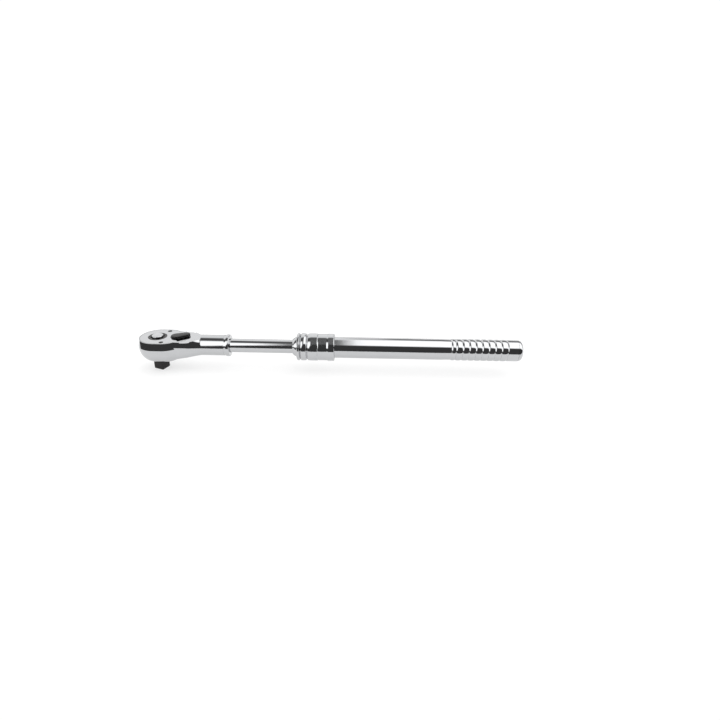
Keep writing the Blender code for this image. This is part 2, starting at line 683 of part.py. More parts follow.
def make_selector():
    """The reversing lever, its shaft and the pin that joins them, thrown to one side."""
    at = (PIVOT_X, 0, 0)
    journal = POCKET_FLOOR + 0.4
    flange = PLATE_BOTTOM - GAP
    profile = [
        (POCKET_FLOOR - SHAFT_FOOT_DEPTH + GAP, SHAFT_FOOT_RADIUS),
        (journal, SHAFT_FOOT_RADIUS),
        (journal, SHAFT_RADIUS),
        (flange - SHAFT_FLANGE, SHAFT_RADIUS),
        (flange - SHAFT_FLANGE, SHAFT_FLANGE_RADIUS),
        (flange, SHAFT_FLANGE_RADIUS),
        (flange, SHAFT_NECK_RADIUS),
        (RECESS_FLOOR, SHAFT_NECK_RADIUS),
    ]
    turn = (0, 0, LEVER_THROW)
    shaft = spun("selector_shaft", "ground_steel", profile, location=at, rotation=turn, steps=28)
    half = TANG_SIDE / 2
    crown = TOP_FACE + LEVER_PROUD
    low, high = (-half, -half, RECESS_FLOOR - 1), (half, half, crown - LEVER_SKIN - GAP)
    tang = block("tang_shape", None, low, high, at, LEVER_THROW)
    boolean(shaft, tang, "UNION")
    notch_middle = (POCKET_FLOOR + GEAR_TOP) / 2
    for throw in (-LEVER_THROW, LEVER_THROW):
        angle = math.radians(LEVER_THROW + throw + PAWL_ROCK * throw / LEVER_THROW)
        x, y = PIVOT_X + CAM_NOTCH_REACH * math.cos(angle), CAM_NOTCH_REACH * math.sin(angle)
        low, high = (x, y, notch_middle - 3), (x, y, notch_middle + 3)
        boolean(shaft, cylinder("cam_notch", None, CAM_NOTCH_RADIUS, low, high, 12))
    outline = capsule(LEVER_HUB_RADIUS, LEVER_TIP_RADIUS, LEVER_REACH - LEVER_TIP_RADIUS)
    low = RECESS_FLOOR + GAP
    lever = extruded("reverse_lever", "black_oxide", outline, low, crown, at, LEVER_THROW)
    softened = lever.modifiers.new("edges", "BEVEL")
    softened.width = LEVER_EDGE * MM
    softened.segments = 2
    softened.limit_method = "ANGLE"
    softened.angle_limit = math.radians(60)
    wide = half + GAP
    low, high = (-wide, -wide, 0), (wide, wide, crown - LEVER_SKIN)
    boolean(lever, block("tang_socket", None, low, high, at, LEVER_THROW))
    throw = math.radians(LEVER_THROW)
    across = Vector((-math.sin(throw), math.cos(throw), 0))
    middle = Vector((PIVOT_X, 0, RECESS_FLOOR + LEVER_PIN_HEIGHT))
    for piece in (lever, shaft):
        reach = across * (LEVER_HUB_RADIUS + 2)
        low, high = middle - reach, middle + reach
        boolean(piece, cylinder("pin_passage", None, LEVER_PIN_RADIUS + 0.25, low, high, 12))
    reach = across * (LEVER_HUB_RADIUS - 0.7)
    cylinder("lever_pin", "ground_steel", LEVER_PIN_RADIUS, middle - reach, middle + reach, 10)


def make_pawl():
    """The two-horned pawl, rocked against the gear, with its spring plunger in the tail."""
    tail = []
    for index in range(13):
        angle = math.radians(-75 + 150 * index / 12)
        tail.append((PAWL_TAIL_RADIUS * math.cos(angle), PAWL_TAIL_RADIUS * math.sin(angle)))
    outline = [(-PAWL_FRONT, -PAWL_HALF_WIDTH)] + tail + [(-PAWL_FRONT, PAWL_HALF_WIDTH)]
    low = POCKET_FLOOR + 0.4
    at = (PIVOT_X, 0, 0)
    pawl = extruded("pawl", "ground_steel", outline, low, GEAR_TOP, at, PAWL_ROCK)
    above = GEAR_TOP + 5
    boolean(pawl, cylinder("shaft_passage", None, SHAFT_RADIUS + 0.4, (PIVOT_X, 0, 0), (PIVOT_X, 0, above)))
    sector = [(0, 0)] + gear_outline(GAP, -6, 6)
    pivot = Vector((PIVOT_X, 0, 0)) * MM
    steps = 6
    below = POCKET_FLOOR - 5
    for index in range(steps + 1):
        cutter = extruded("gear_sweep", None, sector, below, above)
        turn = Matrix.Rotation(math.radians(2 * PAWL_ROCK * index / steps), 4, "Z")
        shift = Matrix.Translation(pivot) @ turn @ Matrix.Translation(-pivot)
        cutter.matrix_world = shift @ Matrix.Translation(Vector((0, 0, (below + above) / 2 * MM)))
        boolean(pawl, cutter)
    height = (low + GEAR_TOP) / 2
    rock = math.radians(PAWL_ROCK)
    along = Vector((math.cos(rock), math.sin(rock), 0))
    middle = Vector((PIVOT_X, 0, height))
    bore_end = PAWL_TAIL_RADIUS - 0.9
    boolean(pawl, cylinder("plunger_bore", None, PLUNGER_RADIUS + GAP, middle, middle + along * bore_end, 20))
    start = SHAFT_RADIUS + 0.3
    nose = [(start, 0.5), (start + 0.8, PLUNGER_RADIUS), (start + 2.3, PLUNGER_RADIUS)]
    facing = (0, 90, PAWL_ROCK)
    spun("pawl_plunger", "ground_steel", nose, location=middle, rotation=facing, steps=20)
    coil("plunger_spring", PLUNGER_RADIUS - 0.5, PLUNGER_WIRE, start + 2.6, bore_end - 0.2, 3, middle, facing)


def make_rod():
    """The inner rod fixed in the shank, with its lock dimples, key slot, stop ring and clip."""
    front = COLLAR_END - ROD_SOCKET_DEPTH + GAP
    spigot_end = TUBE_FRONT + SPIGOT_LENGTH
    ring_start = spigot_end + 0.4
    clip_start = ring_start + STOP_RING_LENGTH + GAP
    clip_end = clip_start + CLIP_THICKNESS
    groove = (clip_start - GAP, clip_end + GAP)
    end = groove[1] + 3
    profile = [
        (front, ROD_OUTER - ROD_END_CHAMFER),
        (front + ROD_END_CHAMFER, ROD_OUTER),
        (groove[0], ROD_OUTER),
        (groove[0], CLIP_GROOVE_RADIUS),
        (groove[1], CLIP_GROOVE_RADIUS),
        (groove[1], ROD_OUTER),
        (end - ROD_END_CHAMFER, ROD_OUTER),
        (end, ROD_OUTER - ROD_END_CHAMFER),
    ]
    rod = spun_on_handle("inner_rod", "chrome_plate", profile)
    pin_low, pin_high = (ROD_PIN_X, 0, 0), handle_point(ROD_PIN_X)
    tools = [cylinder("rod_pin_hole", None, ROD_PIN_RADIUS + GAP, pin_low, pin_high, 16)]
    for index in range(POCKET_COUNT):
        x = LOCK_BALL_X - index * POCKET_PITCH
        dimple = LOCK_BALL_RADIUS + GAP
        depth = SHANK_AXIS - ROD_OUTER + POCKET_DEPTH - dimple
        tools.append(sphere("lock_dimple", None, dimple, (x, 0, depth)))
    travel = POCKET_PITCH * (POCKET_COUNT - 1)
    floor = ROD_OUTER - KEY_SLOT_DEPTH
    slot_low = (KEY_X - travel - KEY_SLOT_SPARE, floor, SHANK_AXIS - KEY_SLOT_HALF)
    slot_high = (KEY_X + KEY_SLOT_SPARE, ROD_OUTER + 1, SHANK_AXIS + KEY_SLOT_HALF)
    tools.append(block("key_slot", None, slot_low, slot_high))
    cut_all(rod, tools)
    outer = [(ring_start, TUBE_BORE - GAP), (ring_start + STOP_RING_LENGTH, TUBE_BORE - GAP)]
    bore = [(ring_start, ROD_OUTER + GAP), (ring_start + STOP_RING_LENGTH, ROD_OUTER + GAP)]
    spun_on_handle("rod_stop_ring", "ground_steel", outer, bore)
    outer = [(clip_start, CLIP_RADIUS), (clip_end, CLIP_RADIUS)]
    spun_on_handle("rod_stop_clip", "spring_steel", outer, [(clip_start, CLIP_BORE), (clip_end, CLIP_BORE)])


def make_guide():
    """The nose guide pressed into the tube, its key, and the lock ball in its cross hole."""
    seat = TUBE_FRONT - GAP
    spigot_end = TUBE_FRONT + SPIGOT_LENGTH
    outer = [
        (NOSE_FRONT, NOSE_TIP_RADIUS - 0.5),
        (NOSE_FRONT + 0.6, NOSE_TIP_RADIUS),
        (SLEEVE_FRONT - 0.5, GUIDE_RADIUS - 0.2),
        (SLEEVE_FRONT, GUIDE_RADIUS),
        (seat, GUIDE_RADIUS),
        (seat, TUBE_BORE - GAP),
        (spigot_end - 0.8, TUBE_BORE - GAP),
        (spigot_end, TUBE_BORE - GAP - 0.6),
    ]
    bore = [(NOSE_FRONT, ROD_OUTER + GAP), (spigot_end, ROD_OUTER + GAP)]
    guide = spun_on_handle("nose_guide", "chrome_plate", outer, bore)
    ball_axis = (LOCK_BALL_X, 0, SHANK_AXIS)
    tools = [
        cylinder("lock_ball_hole", None, LOCK_BALL_RADIUS + GAP, ball_axis, (LOCK_BALL_X, 0, 0), 24),
        cylinder("key_hole", None, KEY_RADIUS + GAP, (KEY_X, 0, SHANK_AXIS), (KEY_X, 20, SHANK_AXIS), 16),
    ]
    cut_all(guide, tools)
    low, high = ROD_OUTER - KEY_SLOT_DEPTH + 0.4, TUBE_BORE - GAP - 0.2
    cylinder("guide_key", "ground_steel", KEY_RADIUS, (KEY_X, low, SHANK_AXIS), (KEY_X, high, SHANK_AXIS), 16)
    sphere("lock_ball", "ground_steel", LOCK_BALL_RADIUS, (LOCK_BALL_X, 0, SHANK_AXIS - lock_ball_reach()))
    low, high = TUBE_FRONT - GAP - SPRING_STOP_LENGTH, TUBE_FRONT - GAP
    rim = [(low, SPRING_STOP_RADIUS), (high, SPRING_STOP_RADIUS)]
    spun_on_handle("spring_stop_ring", "spring_steel", rim, [(low, GUIDE_RADIUS + GAP), (high, GUIDE_RADIUS + GAP)])


def lock_ball_reach():
    """How far the lock ball's centre stands off the handle's axis while it sits in a dimple."""
    return ROD_OUTER - POCKET_DEPTH + GAP + LOCK_BALL_RADIUS


def sleeve_outline():
    """The sleeve's outer profile: two beads, a plain band, a waist and a flared rear lip."""
    front, full = SLEEVE_FRONT, SLEEVE_RADIUS
    profile = [(front, full - 1.2), (front + 0.6, full - 0.3), (front + 1.6, full)]
    profile += [(front + 3.6, full - 0.2), (front + 4.6, full - 1.1)]
    profile += [(front + 5.8, full - 0.3), (front + 8.3, full), (front + 10.8, full - 0.3)]
    profile += [(front + 12.2, full - 1.1), (front + 13.1, full - 0.1), (front + 13.8, full)]
    profile += [(front + 23.9, full), (front + 24.4, full - 0.5), (front + 24.9, full)]
    for index in range(7):
        share = index / 6
        waist = WAIST_DEPTH * math.sin(math.pi * share) ** 2
        profile.append((front + WAIST_START + WAIST_LENGTH * share, full - waist))
    profile += [(front + SLEEVE_LENGTH - 0.7, full - 0.1), (front + SLEEVE_LENGTH, full - 0.8)]
    return profile


def make_sleeve():
    """The sliding lock sleeve with the ramp that frees the ball, its spring and its rear ring."""
    front = SLEEVE_FRONT
    end = front + SLEEVE_LENGTH
    closed = lock_ball_reach() + LOCK_BALL_RADIUS + GAP
    open_radius = closed + LOCK_BALL_LIFT
    chamber = front + SPRING_CHAMBER_START
    bore = [
        (front, GUIDE_RADIUS + GAP),
        (front + 8.6, GUIDE_RADIUS + GAP),
        (front + 9.6, open_radius),
        (LOCK_BALL_X - SLEEVE_TRAVEL, open_radius),
        (LOCK_BALL_X, closed),
        (chamber, closed),
        (chamber, SPRING_CHAMBER_RADIUS),
        (end, SPRING_CHAMBER_RADIUS),
    ]
    spun_on_handle("lock_sleeve", "chrome_plate", sleeve_outline(), bore, steps=SEGMENTS + 8)
    ring = (end - 0.1 - END_RING_LENGTH, end - 0.1)
    outer = [(x, SPRING_STOP_RADIUS) for x in ring]
    spun_on_handle("sleeve_end_ring", "chrome_plate", outer, [(x, TUBE_RADIUS + GAP) for x in ring])
    start, stop = chamber + GAP, TUBE_FRONT - SPRING_STOP_LENGTH - 2 * GAP
    coil("sleeve_spring", GUIDE_RADIUS + 1.5, SLEEVE_WIRE, start, stop, 5, handle_point(0), (0, 90, 0))


def rib_profile():
    """Rounded ribs along the grip: narrow valleys with a convex bead between each two."""
    valleys = [RIB_LEAD_IN] + [RIB_FIRST + index * RIB_PITCH for index in range(RIB_COUNT)]
    profile = [(RIB_LEAD_IN - 12, TUBE_RADIUS), (RIB_LEAD_IN - 4, TUBE_RADIUS - 0.25)]
    for near, far in zip(valleys, valleys[1:]):
        for share in (0.0, 0.18, 0.5, 0.82):
            lift = math.sin(math.pi * share) ** 0.5
            profile.append((near + (far - near) * share, RIB_VALLEY + (RIB_PEAK - RIB_VALLEY) * lift))
    profile += [(valleys[-1], RIB_VALLEY), (valleys[-1] + 1.6, RIM_RADIUS), (TUBE_END, RIM_RADIUS)]
    return profile


def make_tube():
    """The outer handle tube with its ribbed grip, and the steel plug that closes its end."""
    outer = [(TUBE_FRONT, TUBE_RADIUS - 0.4), (TUBE_FRONT + 0.4, TUBE_RADIUS)] + rib_profile()
    bore = [(TUBE_FRONT, TUBE_BORE), (TUBE_END, TUBE_BORE)]
    spun_on_handle("outer_tube", "chrome_plate", outer, bore)
    spigot = TUBE_BORE - GAP
    start = TUBE_END + GAP
    low = start - PLUG_DEPTH
    plug = [(low, spigot - 0.5), (low + 1, spigot), (start, spigot), (start, PLUG_RADIUS)]
    for index in range(5):
        angle = math.radians(90 * index / 4)
        x = HANDLE_END - END_CORNER * (1 - math.sin(angle))
        plug.append((x, PLUG_RADIUS - END_CORNER * (1 - math.cos(angle))))
    spun_on_handle("end_plug", "chrome_plate", plug)


make_head_body()
make_cover()
make_drive()
make_release()
make_selector()
make_pawl()
make_rod()
make_guide()
make_sleeve()
make_tube()
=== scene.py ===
"""An extendable reversible ratchet handle with a half-inch drive square.

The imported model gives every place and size. Each section below makes one piece of the tool, or a
group of like pieces, in the order in which the tool is put together.
"""
import math

import bpy
import numpy as np
from mathutils import Matrix, Vector


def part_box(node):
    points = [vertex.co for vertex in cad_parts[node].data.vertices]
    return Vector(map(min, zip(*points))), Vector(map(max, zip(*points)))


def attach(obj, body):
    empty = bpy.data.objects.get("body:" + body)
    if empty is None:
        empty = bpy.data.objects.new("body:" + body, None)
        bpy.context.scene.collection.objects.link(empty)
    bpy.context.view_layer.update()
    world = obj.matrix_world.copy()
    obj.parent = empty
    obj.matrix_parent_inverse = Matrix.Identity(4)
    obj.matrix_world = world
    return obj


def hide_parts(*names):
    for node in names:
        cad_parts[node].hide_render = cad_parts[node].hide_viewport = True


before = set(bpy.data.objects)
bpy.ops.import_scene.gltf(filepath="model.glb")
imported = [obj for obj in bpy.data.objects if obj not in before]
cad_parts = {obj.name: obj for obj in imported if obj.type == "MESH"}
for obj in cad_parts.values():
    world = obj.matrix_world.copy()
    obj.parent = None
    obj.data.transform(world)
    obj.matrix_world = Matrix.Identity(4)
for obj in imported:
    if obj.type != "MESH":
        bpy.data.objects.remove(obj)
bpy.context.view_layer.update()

# The head forging: round bowl, neck, shank and collar in one piece of chrome-vanadium steel.
# It is hot forged, milled flat on top, bored for the works, then polished and chrome plated.
# Its walls carry forging draft above the parting line and run into a deep bowl below it.

MM = 0.001
GAP = 0.3
AXIS = (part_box("outer_tube")[0].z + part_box("outer_tube")[1].z) / 2 / MM
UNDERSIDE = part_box("head_body")[0].z / MM
TOP_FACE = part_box("cover_plate")[1].z / MM
HEAD_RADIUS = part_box("head_body")[1].y / MM
HEAD_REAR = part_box("head_body")[0].x / MM + HEAD_RADIUS
HEAD_FRONT = 9.0
PARTING = AXIS + 1.4
DRAFT = math.tan(math.radians(11.0))
BOWL_POWER = 2.5
BOWL_SPARE_DEPTH = 3.2
LOBE_HALF_WIDTH = 17.3
LOBE_LIFT = 1.7
LOBE_POWER = 3.6
NECK_START = 34.0
NECK_END = 52.0
FLAT_END = 51.0
SHANK_RADIUS = 12.0
SHANK_END = 77.4
COLLAR_END = 83.7
COLLAR_RADIUS = 12.7
ROD_PIN_X = 66.0
MILLING_SPARE = 1.4
PLATE_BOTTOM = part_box("cover_plate")[0].z / MM
PLATE_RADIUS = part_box("cover_plate")[1].y / MM
PLATE_LOBE_RADIUS = 14.3
CAVITY_FLOOR = UNDERSIDE + 3.8
CAVITY_RADIUS = 15.0
PAWL_POCKET_RADIUS = 11.0
PAWL_POCKET_FLOOR = CAVITY_FLOOR + 1.7
DRIVE_HOLE_RADIUS = 10.1
PIVOT_X = 21.6
ROD_SOCKET_DEPTH = 25.7
ROD_RADIUS = 8.0
RECESS_FLOOR = TOP_FACE - 0.8
RECESS_START = 30.5
RECESS_END = 40.4
RECESS_HUB_RADIUS = 6.8
CHROME = (0.53, 0.535, 0.545, 1.0)
CHROME_SHADE = (0.505, 0.511, 0.523, 1.0)


def smooth(value):
    """Ease a whole array from 0 to 1: 3t^2 - 2t^3 with t held between 0 and 1."""
    held = np.clip(value, 0.0, 1.0)
    return held * held * (3 - 2 * held)


def quads(rows, columns, ring):
    """Corner numbers of the cells of a rows x columns grid whose columns close on themselves.

    Cell (i, j) joins points (i, j), (i, j+1), (i+1, j+1) and (i+1, j). With ring, rows close too.
    """
    upper = np.arange(rows if ring else rows - 1)[:, None]
    lower = (upper + 1) % rows
    near = np.arange(columns)[None, :]
    far = (near + 1) % columns
    cells = (upper * columns + near, upper * columns + far, lower * columns + far, lower * columns + near)
    return np.stack(cells, axis=-1).reshape(-1, 4)


def made(name, points, faces, sharp=32.0):
    """A linked mesh object from points in millimetres, smooth except where faces meet past an angle."""
    mesh = bpy.data.meshes.new(name)
    mesh.from_pydata((np.asarray(points) * MM).tolist(), [], faces)
    mesh.shade_smooth()
    mesh.set_sharp_from_angle(angle=math.radians(sharp))
    piece = bpy.data.objects.new(name, mesh)
    bpy.context.scene.collection.objects.link(piece)
    return piece


def turned(name, profile, ring=False, axis="z", centre=(0.0, 0.0, 0.0), sides=128, sharp=32.0):
    """Turn a profile of (position, radius) rows about an axis.

    Point (i, k) is centre + position_i * axis + radius_i * (cos a_k, sin a_k) across it. A ring's
    profile is a closed loop; any other profile gets a pole point at both of its ends.
    """
    profile = np.asarray(profile, float)
    angle = np.linspace(0.0, math.tau, sides, endpoint=False)
    along = np.repeat(profile[:, :1], sides, axis=1)
    first, second = profile[:, 1:] * np.cos(angle), profile[:, 1:] * np.sin(angle)
    parts = (first, second, along) if axis == "z" else (along, first, second)
    points = np.stack(parts, axis=-1).reshape(-1, 3) + np.asarray(centre)
    faces = quads(len(profile), sides, ring).tolist()
    if ring:
        return outward(made(name, points, faces, sharp))
    unit = np.array((0.0, 0.0, 1.0) if axis == "z" else (1.0, 0.0, 0.0))
    poles = np.asarray(centre) + profile[[0, -1], :1] * unit
    count, last = len(points), (len(profile) - 1) * sides
    near = np.arange(sides)
    far = (near + 1) % sides
    bottom = np.stack((np.full(sides, count), far, near), axis=-1).tolist()
    top = np.stack((np.full(sides, count + 1), last + near, last + far), axis=-1).tolist()
    return outward(made(name, np.vstack((points, poles)), faces + bottom + top, sharp))


def outward(piece):
    """Turn a closed mesh right side out when the sum of its faces' signed volumes is negative."""
    mesh = piece.data
    mesh.calc_loop_triangles()
    corners = np.zeros(len(mesh.loop_triangles) * 3, np.int64)
    mesh.loop_triangles.foreach_get("vertices", corners)
    places = np.zeros(len(mesh.vertices) * 3)
    mesh.vertices.foreach_get("co", places)
    triangles = places.reshape(-1, 3)[corners].reshape(-1, 3, 3)
    crossed = np.cross(triangles[:, 1], triangles[:, 2])
    if (triangles[:, 0] * crossed).sum() < 0:
        mesh.flip_normals()
    return piece


def raised(name, outline, low, high, sharp=32.0):
    """Raise a flat outline of (x, y) rows from one height to another, with a flat face at each end."""
    outline = np.asarray(outline, float)
    count = len(outline)
    levels = [np.column_stack((outline, np.full(count, height))) for height in (low, high)]
    ends = [list(range(count))[::-1], list(range(count, 2 * count))]
    return outward(made(name, np.vstack(levels), quads(2, count, False).tolist() + ends, sharp))


def stacked(name, levels, sharp=32.0):
    """Join outlines of equal length, given as (outline, height) from the bottom up, and close the ends."""
    count = len(levels[0][0])
    points = np.vstack([np.column_stack((outline, np.full(count, height))) for outline, height in levels])
    last = (len(levels) - 1) * count
    ends = [list(range(count))[::-1], list(range(last, last + count))]
    return outward(made(name, points, quads(len(levels), count, False).tolist() + ends, sharp))


def circle(radius, centre=(0.0, 0.0), sides=96):
    """Points of a circle: centre + radius * (cos a, sin a)."""
    angle = np.linspace(0.0, math.tau, sides, endpoint=False)
    return np.column_stack((centre[0] + radius * np.cos(angle), centre[1] + radius * np.sin(angle)))


def box_outline(low_x, low_y, high_x, high_y):
    """The four corners of a rectangle."""
    return np.array(((low_x, low_y), (high_x, low_y), (high_x, high_y), (low_x, high_y)))


def cut(piece, tools, operation="DIFFERENCE", sharp=32.0):
    """Cut tools from a piece, or join them on, and leave one plain mesh with crisp edges."""
    for tool in tools:
        step = piece.modifiers.new(tool.name, "BOOLEAN")
        step.operation = operation
        step.solver = "EXACT"
        step.object = tool
    bpy.context.view_layer.update()
    solved = bpy.data.meshes.new_from_object(piece.evaluated_get(bpy.context.evaluated_depsgraph_get()))
    piece.modifiers.clear()
    piece.data = solved
    solved.shade_smooth()
    solved.set_sharp_from_angle(angle=math.radians(sharp))
    for tool in tools:
        bpy.data.objects.remove(tool)
    return piece


def oblong(radius, count=240):
    """The head's plan at one height: half circles about two centres, joined by straight flanks."""
    angle = math.tau * (np.arange(count) + 0.5) / count - math.pi / 2
    middle = np.where(np.cos(angle) > 0, HEAD_FRONT, HEAD_REAR)
    return np.column_stack((middle + radius * np.cos(angle), radius * np.sin(angle)))


def plate_plan(clearance):
    """The cover plate's plan: the head's oblong carried on by a round lobe over the pawl.

    The lobe's arc ends where its tangent also touches the oblong's front circle.
    """
    radius, lobe = PLATE_RADIUS + clearance, PLATE_LOBE_RADIUS + clearance
    lean = math.acos((radius - lobe) / (PIVOT_X - HEAD_FRONT))
    nose = np.linspace(-lean, lean, 64)
    back = np.linspace(lean, math.tau - lean, 160)
    middle = np.where(np.cos(back) > 0, HEAD_FRONT, HEAD_REAR)
    far = np.column_stack((PIVOT_X + lobe * np.cos(nose), lobe * np.sin(nose)))
    near = np.column_stack((middle + radius * np.cos(back), radius * np.sin(back)))
    return np.vstack((far, near))


def bowl_levels():
    """The head's half width r at each height, from the underside up.

    Below the parting line r = R * (1 - f^p)^(1/p), where f is the depth below the line over the
    bowl's full depth and p its power. Above the line the wall leans in with the draft.
    """
    share = np.linspace(0.0, 1.0, 40) ** 1.6
    height = UNDERSIDE + (PARTING - UNDERSIDE) * share
    fall = np.maximum(PARTING - height, 0.0) / (PARTING - UNDERSIDE + BOWL_SPARE_DEPTH)
    radius = HEAD_RADIUS * (1 - fall**BOWL_POWER) ** (1 / BOWL_POWER)
    top = TOP_FACE + MILLING_SPARE
    wall = (top, HEAD_RADIUS - DRAFT * (top - PARTING))
    return np.vstack((np.column_stack((height, radius)), wall))


def neck_points(x, angle):
    """Sections across the neck: a flat-topped lobe that turns into the shank's circle.

    The lobe's wall leans in with the draft above its crease, and below it the section is
    |y/w|^p + |z/b|^p = 1 for half width w, depth b and power p. The blend is an eased share of x.
    """
    x, angle = x[:, None], angle[None, :]
    crease = PARTING + LOBE_LIFT
    share = smooth((x - NECK_START) / (NECK_END - NECK_START))
    floor = UNDERSIDE + 0.1 + (AXIS - SHANK_RADIUS - UNDERSIDE) * smooth((x - 16) / 26)
    across, up = np.cos(angle), np.sin(angle)
    rise = (TOP_FACE + MILLING_SPARE - crease) * np.clip(math.sqrt(2) * up, 0.0, 1.0)
    upper_y = (LOBE_HALF_WIDTH - DRAFT * rise) * np.clip(math.sqrt(2) * across, -1.0, 1.0)
    lower_y = LOBE_HALF_WIDTH * np.sign(across) * np.abs(across) ** (2 / LOBE_POWER)
    lower_z = crease - (crease - floor) * np.abs(up) ** (2 / LOBE_POWER)
    lobe_y = np.where(up >= 0, upper_y, lower_y)
    lobe_z = np.where(up >= 0, crease + rise, lower_z)
    y = lobe_y + (SHANK_RADIUS * across - lobe_y) * share
    z = lobe_z + (AXIS + SHANK_RADIUS * up - lobe_z) * share
    return np.stack((np.broadcast_to(x, y.shape), y, z), axis=-1)


def neck_solid(name):
    """Carry the neck's sections from inside the head to the collar and close both ends flat."""
    sides = 128
    x = np.concatenate((np.linspace(4, NECK_END, 140), np.linspace(NECK_END + 1, SHANK_END, 30)))
    points = neck_points(x, np.linspace(0.0, math.tau, sides, endpoint=False)).reshape(-1, 3)
    last = (len(x) - 1) * sides
    ends = [list(range(sides))[::-1], list(range(last, last + sides))]
    return outward(made(name, points, quads(len(x), sides, False).tolist() + ends))


def swing_recess(name):
    """The fan milled across the neck for the lever, with a round end about the lever's pivot."""
    edge = 2 * LOBE_HALF_WIDTH
    hub = RECESS_HUB_RADIUS
    angle = np.linspace(math.pi / 2, 3 * math.pi / 2, 48)
    round_end = np.column_stack((PIVOT_X + hub * np.cos(angle), hub * np.sin(angle)))
    side = ((RECESS_START, -LOBE_HALF_WIDTH), (RECESS_START, -edge), (RECESS_END, -edge))
    other = ((RECESS_END, edge), (RECESS_START, edge), (RECESS_START, LOBE_HALF_WIDTH))
    return raised(name, np.vstack((other, round_end, side)), RECESS_FLOOR, TOP_FACE + 10)


def group_of(name, inputs, outputs):
    """A shader node group with float inputs (name, start value) and outputs (name, kind)."""
    group = bpy.data.node_groups.new(name, "ShaderNodeTree")
    for label, value in inputs:
        socket = group.interface.new_socket(label, in_out="INPUT", socket_type="NodeSocketFloat")
        socket.default_value = value
    for label, kind in outputs:
        group.interface.new_socket(label, in_out="OUTPUT", socket_type=kind)
    return group, group.nodes.new("NodeGroupInput"), group.nodes.new("NodeGroupOutput")


def node(tree, kind, links=(), **settings):
    """Add a node, give its properties and plain socket values, and link (socket, source) pairs."""
    added = tree.nodes.new(kind)
    for key, value in settings.items():
        if hasattr(added, key):
            setattr(added, key, value)
        else:
            added.inputs[key.replace("_", " ")].default_value = value
    for socket, source in links:
        tree.links.new(source, added.inputs[socket])
    return added


def calculated(tree, operation, first, second=0.5):
    """The result of one arithmetic node, whose two values are sockets or plain numbers."""
    step = tree.nodes.new("ShaderNodeMath")
    step.operation = operation
    for socket, value in zip(step.inputs, (first, second)):
        if isinstance(value, bpy.types.NodeSocket):
            tree.links.new(value, socket)
        else:
            socket.default_value = value
    return step.outputs[0]


def ranged(tree, source, low, high, kind="LINEAR"):
    """A share that goes from 0 to 1 as the source goes from low to high."""
    step = node(tree, "ShaderNodeMapRange", [("Value", source)], interpolation_type=kind)
    step.inputs["From Min"].default_value = low
    step.inputs["From Max"].default_value = high
    return step.outputs[0]


def noise(tree, place, detail, scale):
    """The grey value of a noise texture, at a scale given as a socket or a number."""
    texture = node(tree, "ShaderNodeTexNoise", [("Vector", place)], Detail=detail)
    if isinstance(scale, bpy.types.NodeSocket):
        tree.links.new(scale, texture.inputs["Scale"])
    else:
        texture.inputs["Scale"].default_value = scale
    return texture.outputs["Fac"]


def bumped(tree, height, strength, distance):
    """The normal after a bump of a given strength and height in metres."""
    return node(tree, "ShaderNodeBump", [("Height", height)], Strength=strength, Distance=distance).outputs[0]


def polish_group():
    """Traces of polishing: long waves under the plating, fine haze, and sparse hairline scratches."""
    inputs = (("Wave Size", 160.0), ("Haze Size", 900.0), ("Base Roughness", 0.05), ("Haze", 0.05))
    outputs = (("Roughness", "NodeSocketFloat"), ("Height", "NodeSocketFloat"))
    group, given, result = group_of("polish_traces", inputs, outputs)
    place = node(group, "ShaderNodeTexCoord").outputs["Object"]
    wave = noise(group, place, 1.0, given.outputs["Wave Size"])
    haze = noise(group, place, 5.0, given.outputs["Haze Size"])
    stretch = node(group, "ShaderNodeMapping", [("Vector", place)], Scale=(60.0, 900.0, 900.0))
    hair = ranged(group, noise(group, stretch.outputs[0], 2.0, 3.0), 0.62, 0.72)
    marks = calculated(group, "MULTIPLY", hair, 0.05)
    spread = calculated(group, "MULTIPLY", haze, given.outputs["Haze"])
    rough = calculated(group, "ADD", spread, given.outputs["Base Roughness"])
    total = calculated(group, "ADD", rough, marks)
    height = calculated(group, "SUBTRACT", wave, marks)
    group.links.new(total, result.inputs["Roughness"])
    group.links.new(height, result.inputs["Height"])
    return group


POLISH = polish_group()


def mixed(tree, factor, first, second):
    """A colour mix of two plain colours by a factor socket."""
    blend = node(tree, "ShaderNodeMix", [("Factor", factor)], data_type="RGBA")
    sockets = [socket for socket in blend.inputs if socket.type == "RGBA"]
    sockets[0].default_value = first
    sockets[1].default_value = second
    return [socket for socket in blend.outputs if socket.type == "RGBA"][0]


def metal(name, rough, haze):
    """A metal material with the polishing group in it; returns material, tree, shader and group."""
    material = bpy.data.materials.new(name)
    material.use_nodes = True
    tree = material.node_tree
    shader = tree.nodes["Principled BSDF"]
    shader.inputs["Metallic"].default_value = 1.0
    traces = node(tree, "ShaderNodeGroup", node_tree=POLISH)
    traces.inputs["Base Roughness"].default_value = rough
    traces.inputs["Haze"].default_value = haze
    tree.links.new(traces.outputs["Roughness"], shader.inputs["Roughness"])
    return material, tree, shader, traces


def chrome(name, rough=0.05, ripple=0.02):
    """Bright nickel-chromium plate: mirror-like, with faint polishing waves and handling haze."""
    material, tree, shader, traces = metal(name, rough, 0.05)
    place = node(tree, "ShaderNodeTexCoord").outputs["Object"]
    cloud = noise(tree, place, 3.0, 45.0)
    tree.links.new(mixed(tree, cloud, CHROME, CHROME_SHADE), shader.inputs["Base Color"])
    tree.links.new(bumped(tree, traces.outputs["Height"], ripple, 0.0005), shader.inputs["Normal"])
    return material


def finish(piece, material, body, *nodes, slot="chrome_plate"):
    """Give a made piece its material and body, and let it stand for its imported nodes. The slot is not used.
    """
    piece.data.materials.clear()
    piece.data.materials.append(material)
    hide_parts(*nodes)
    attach(piece, body)


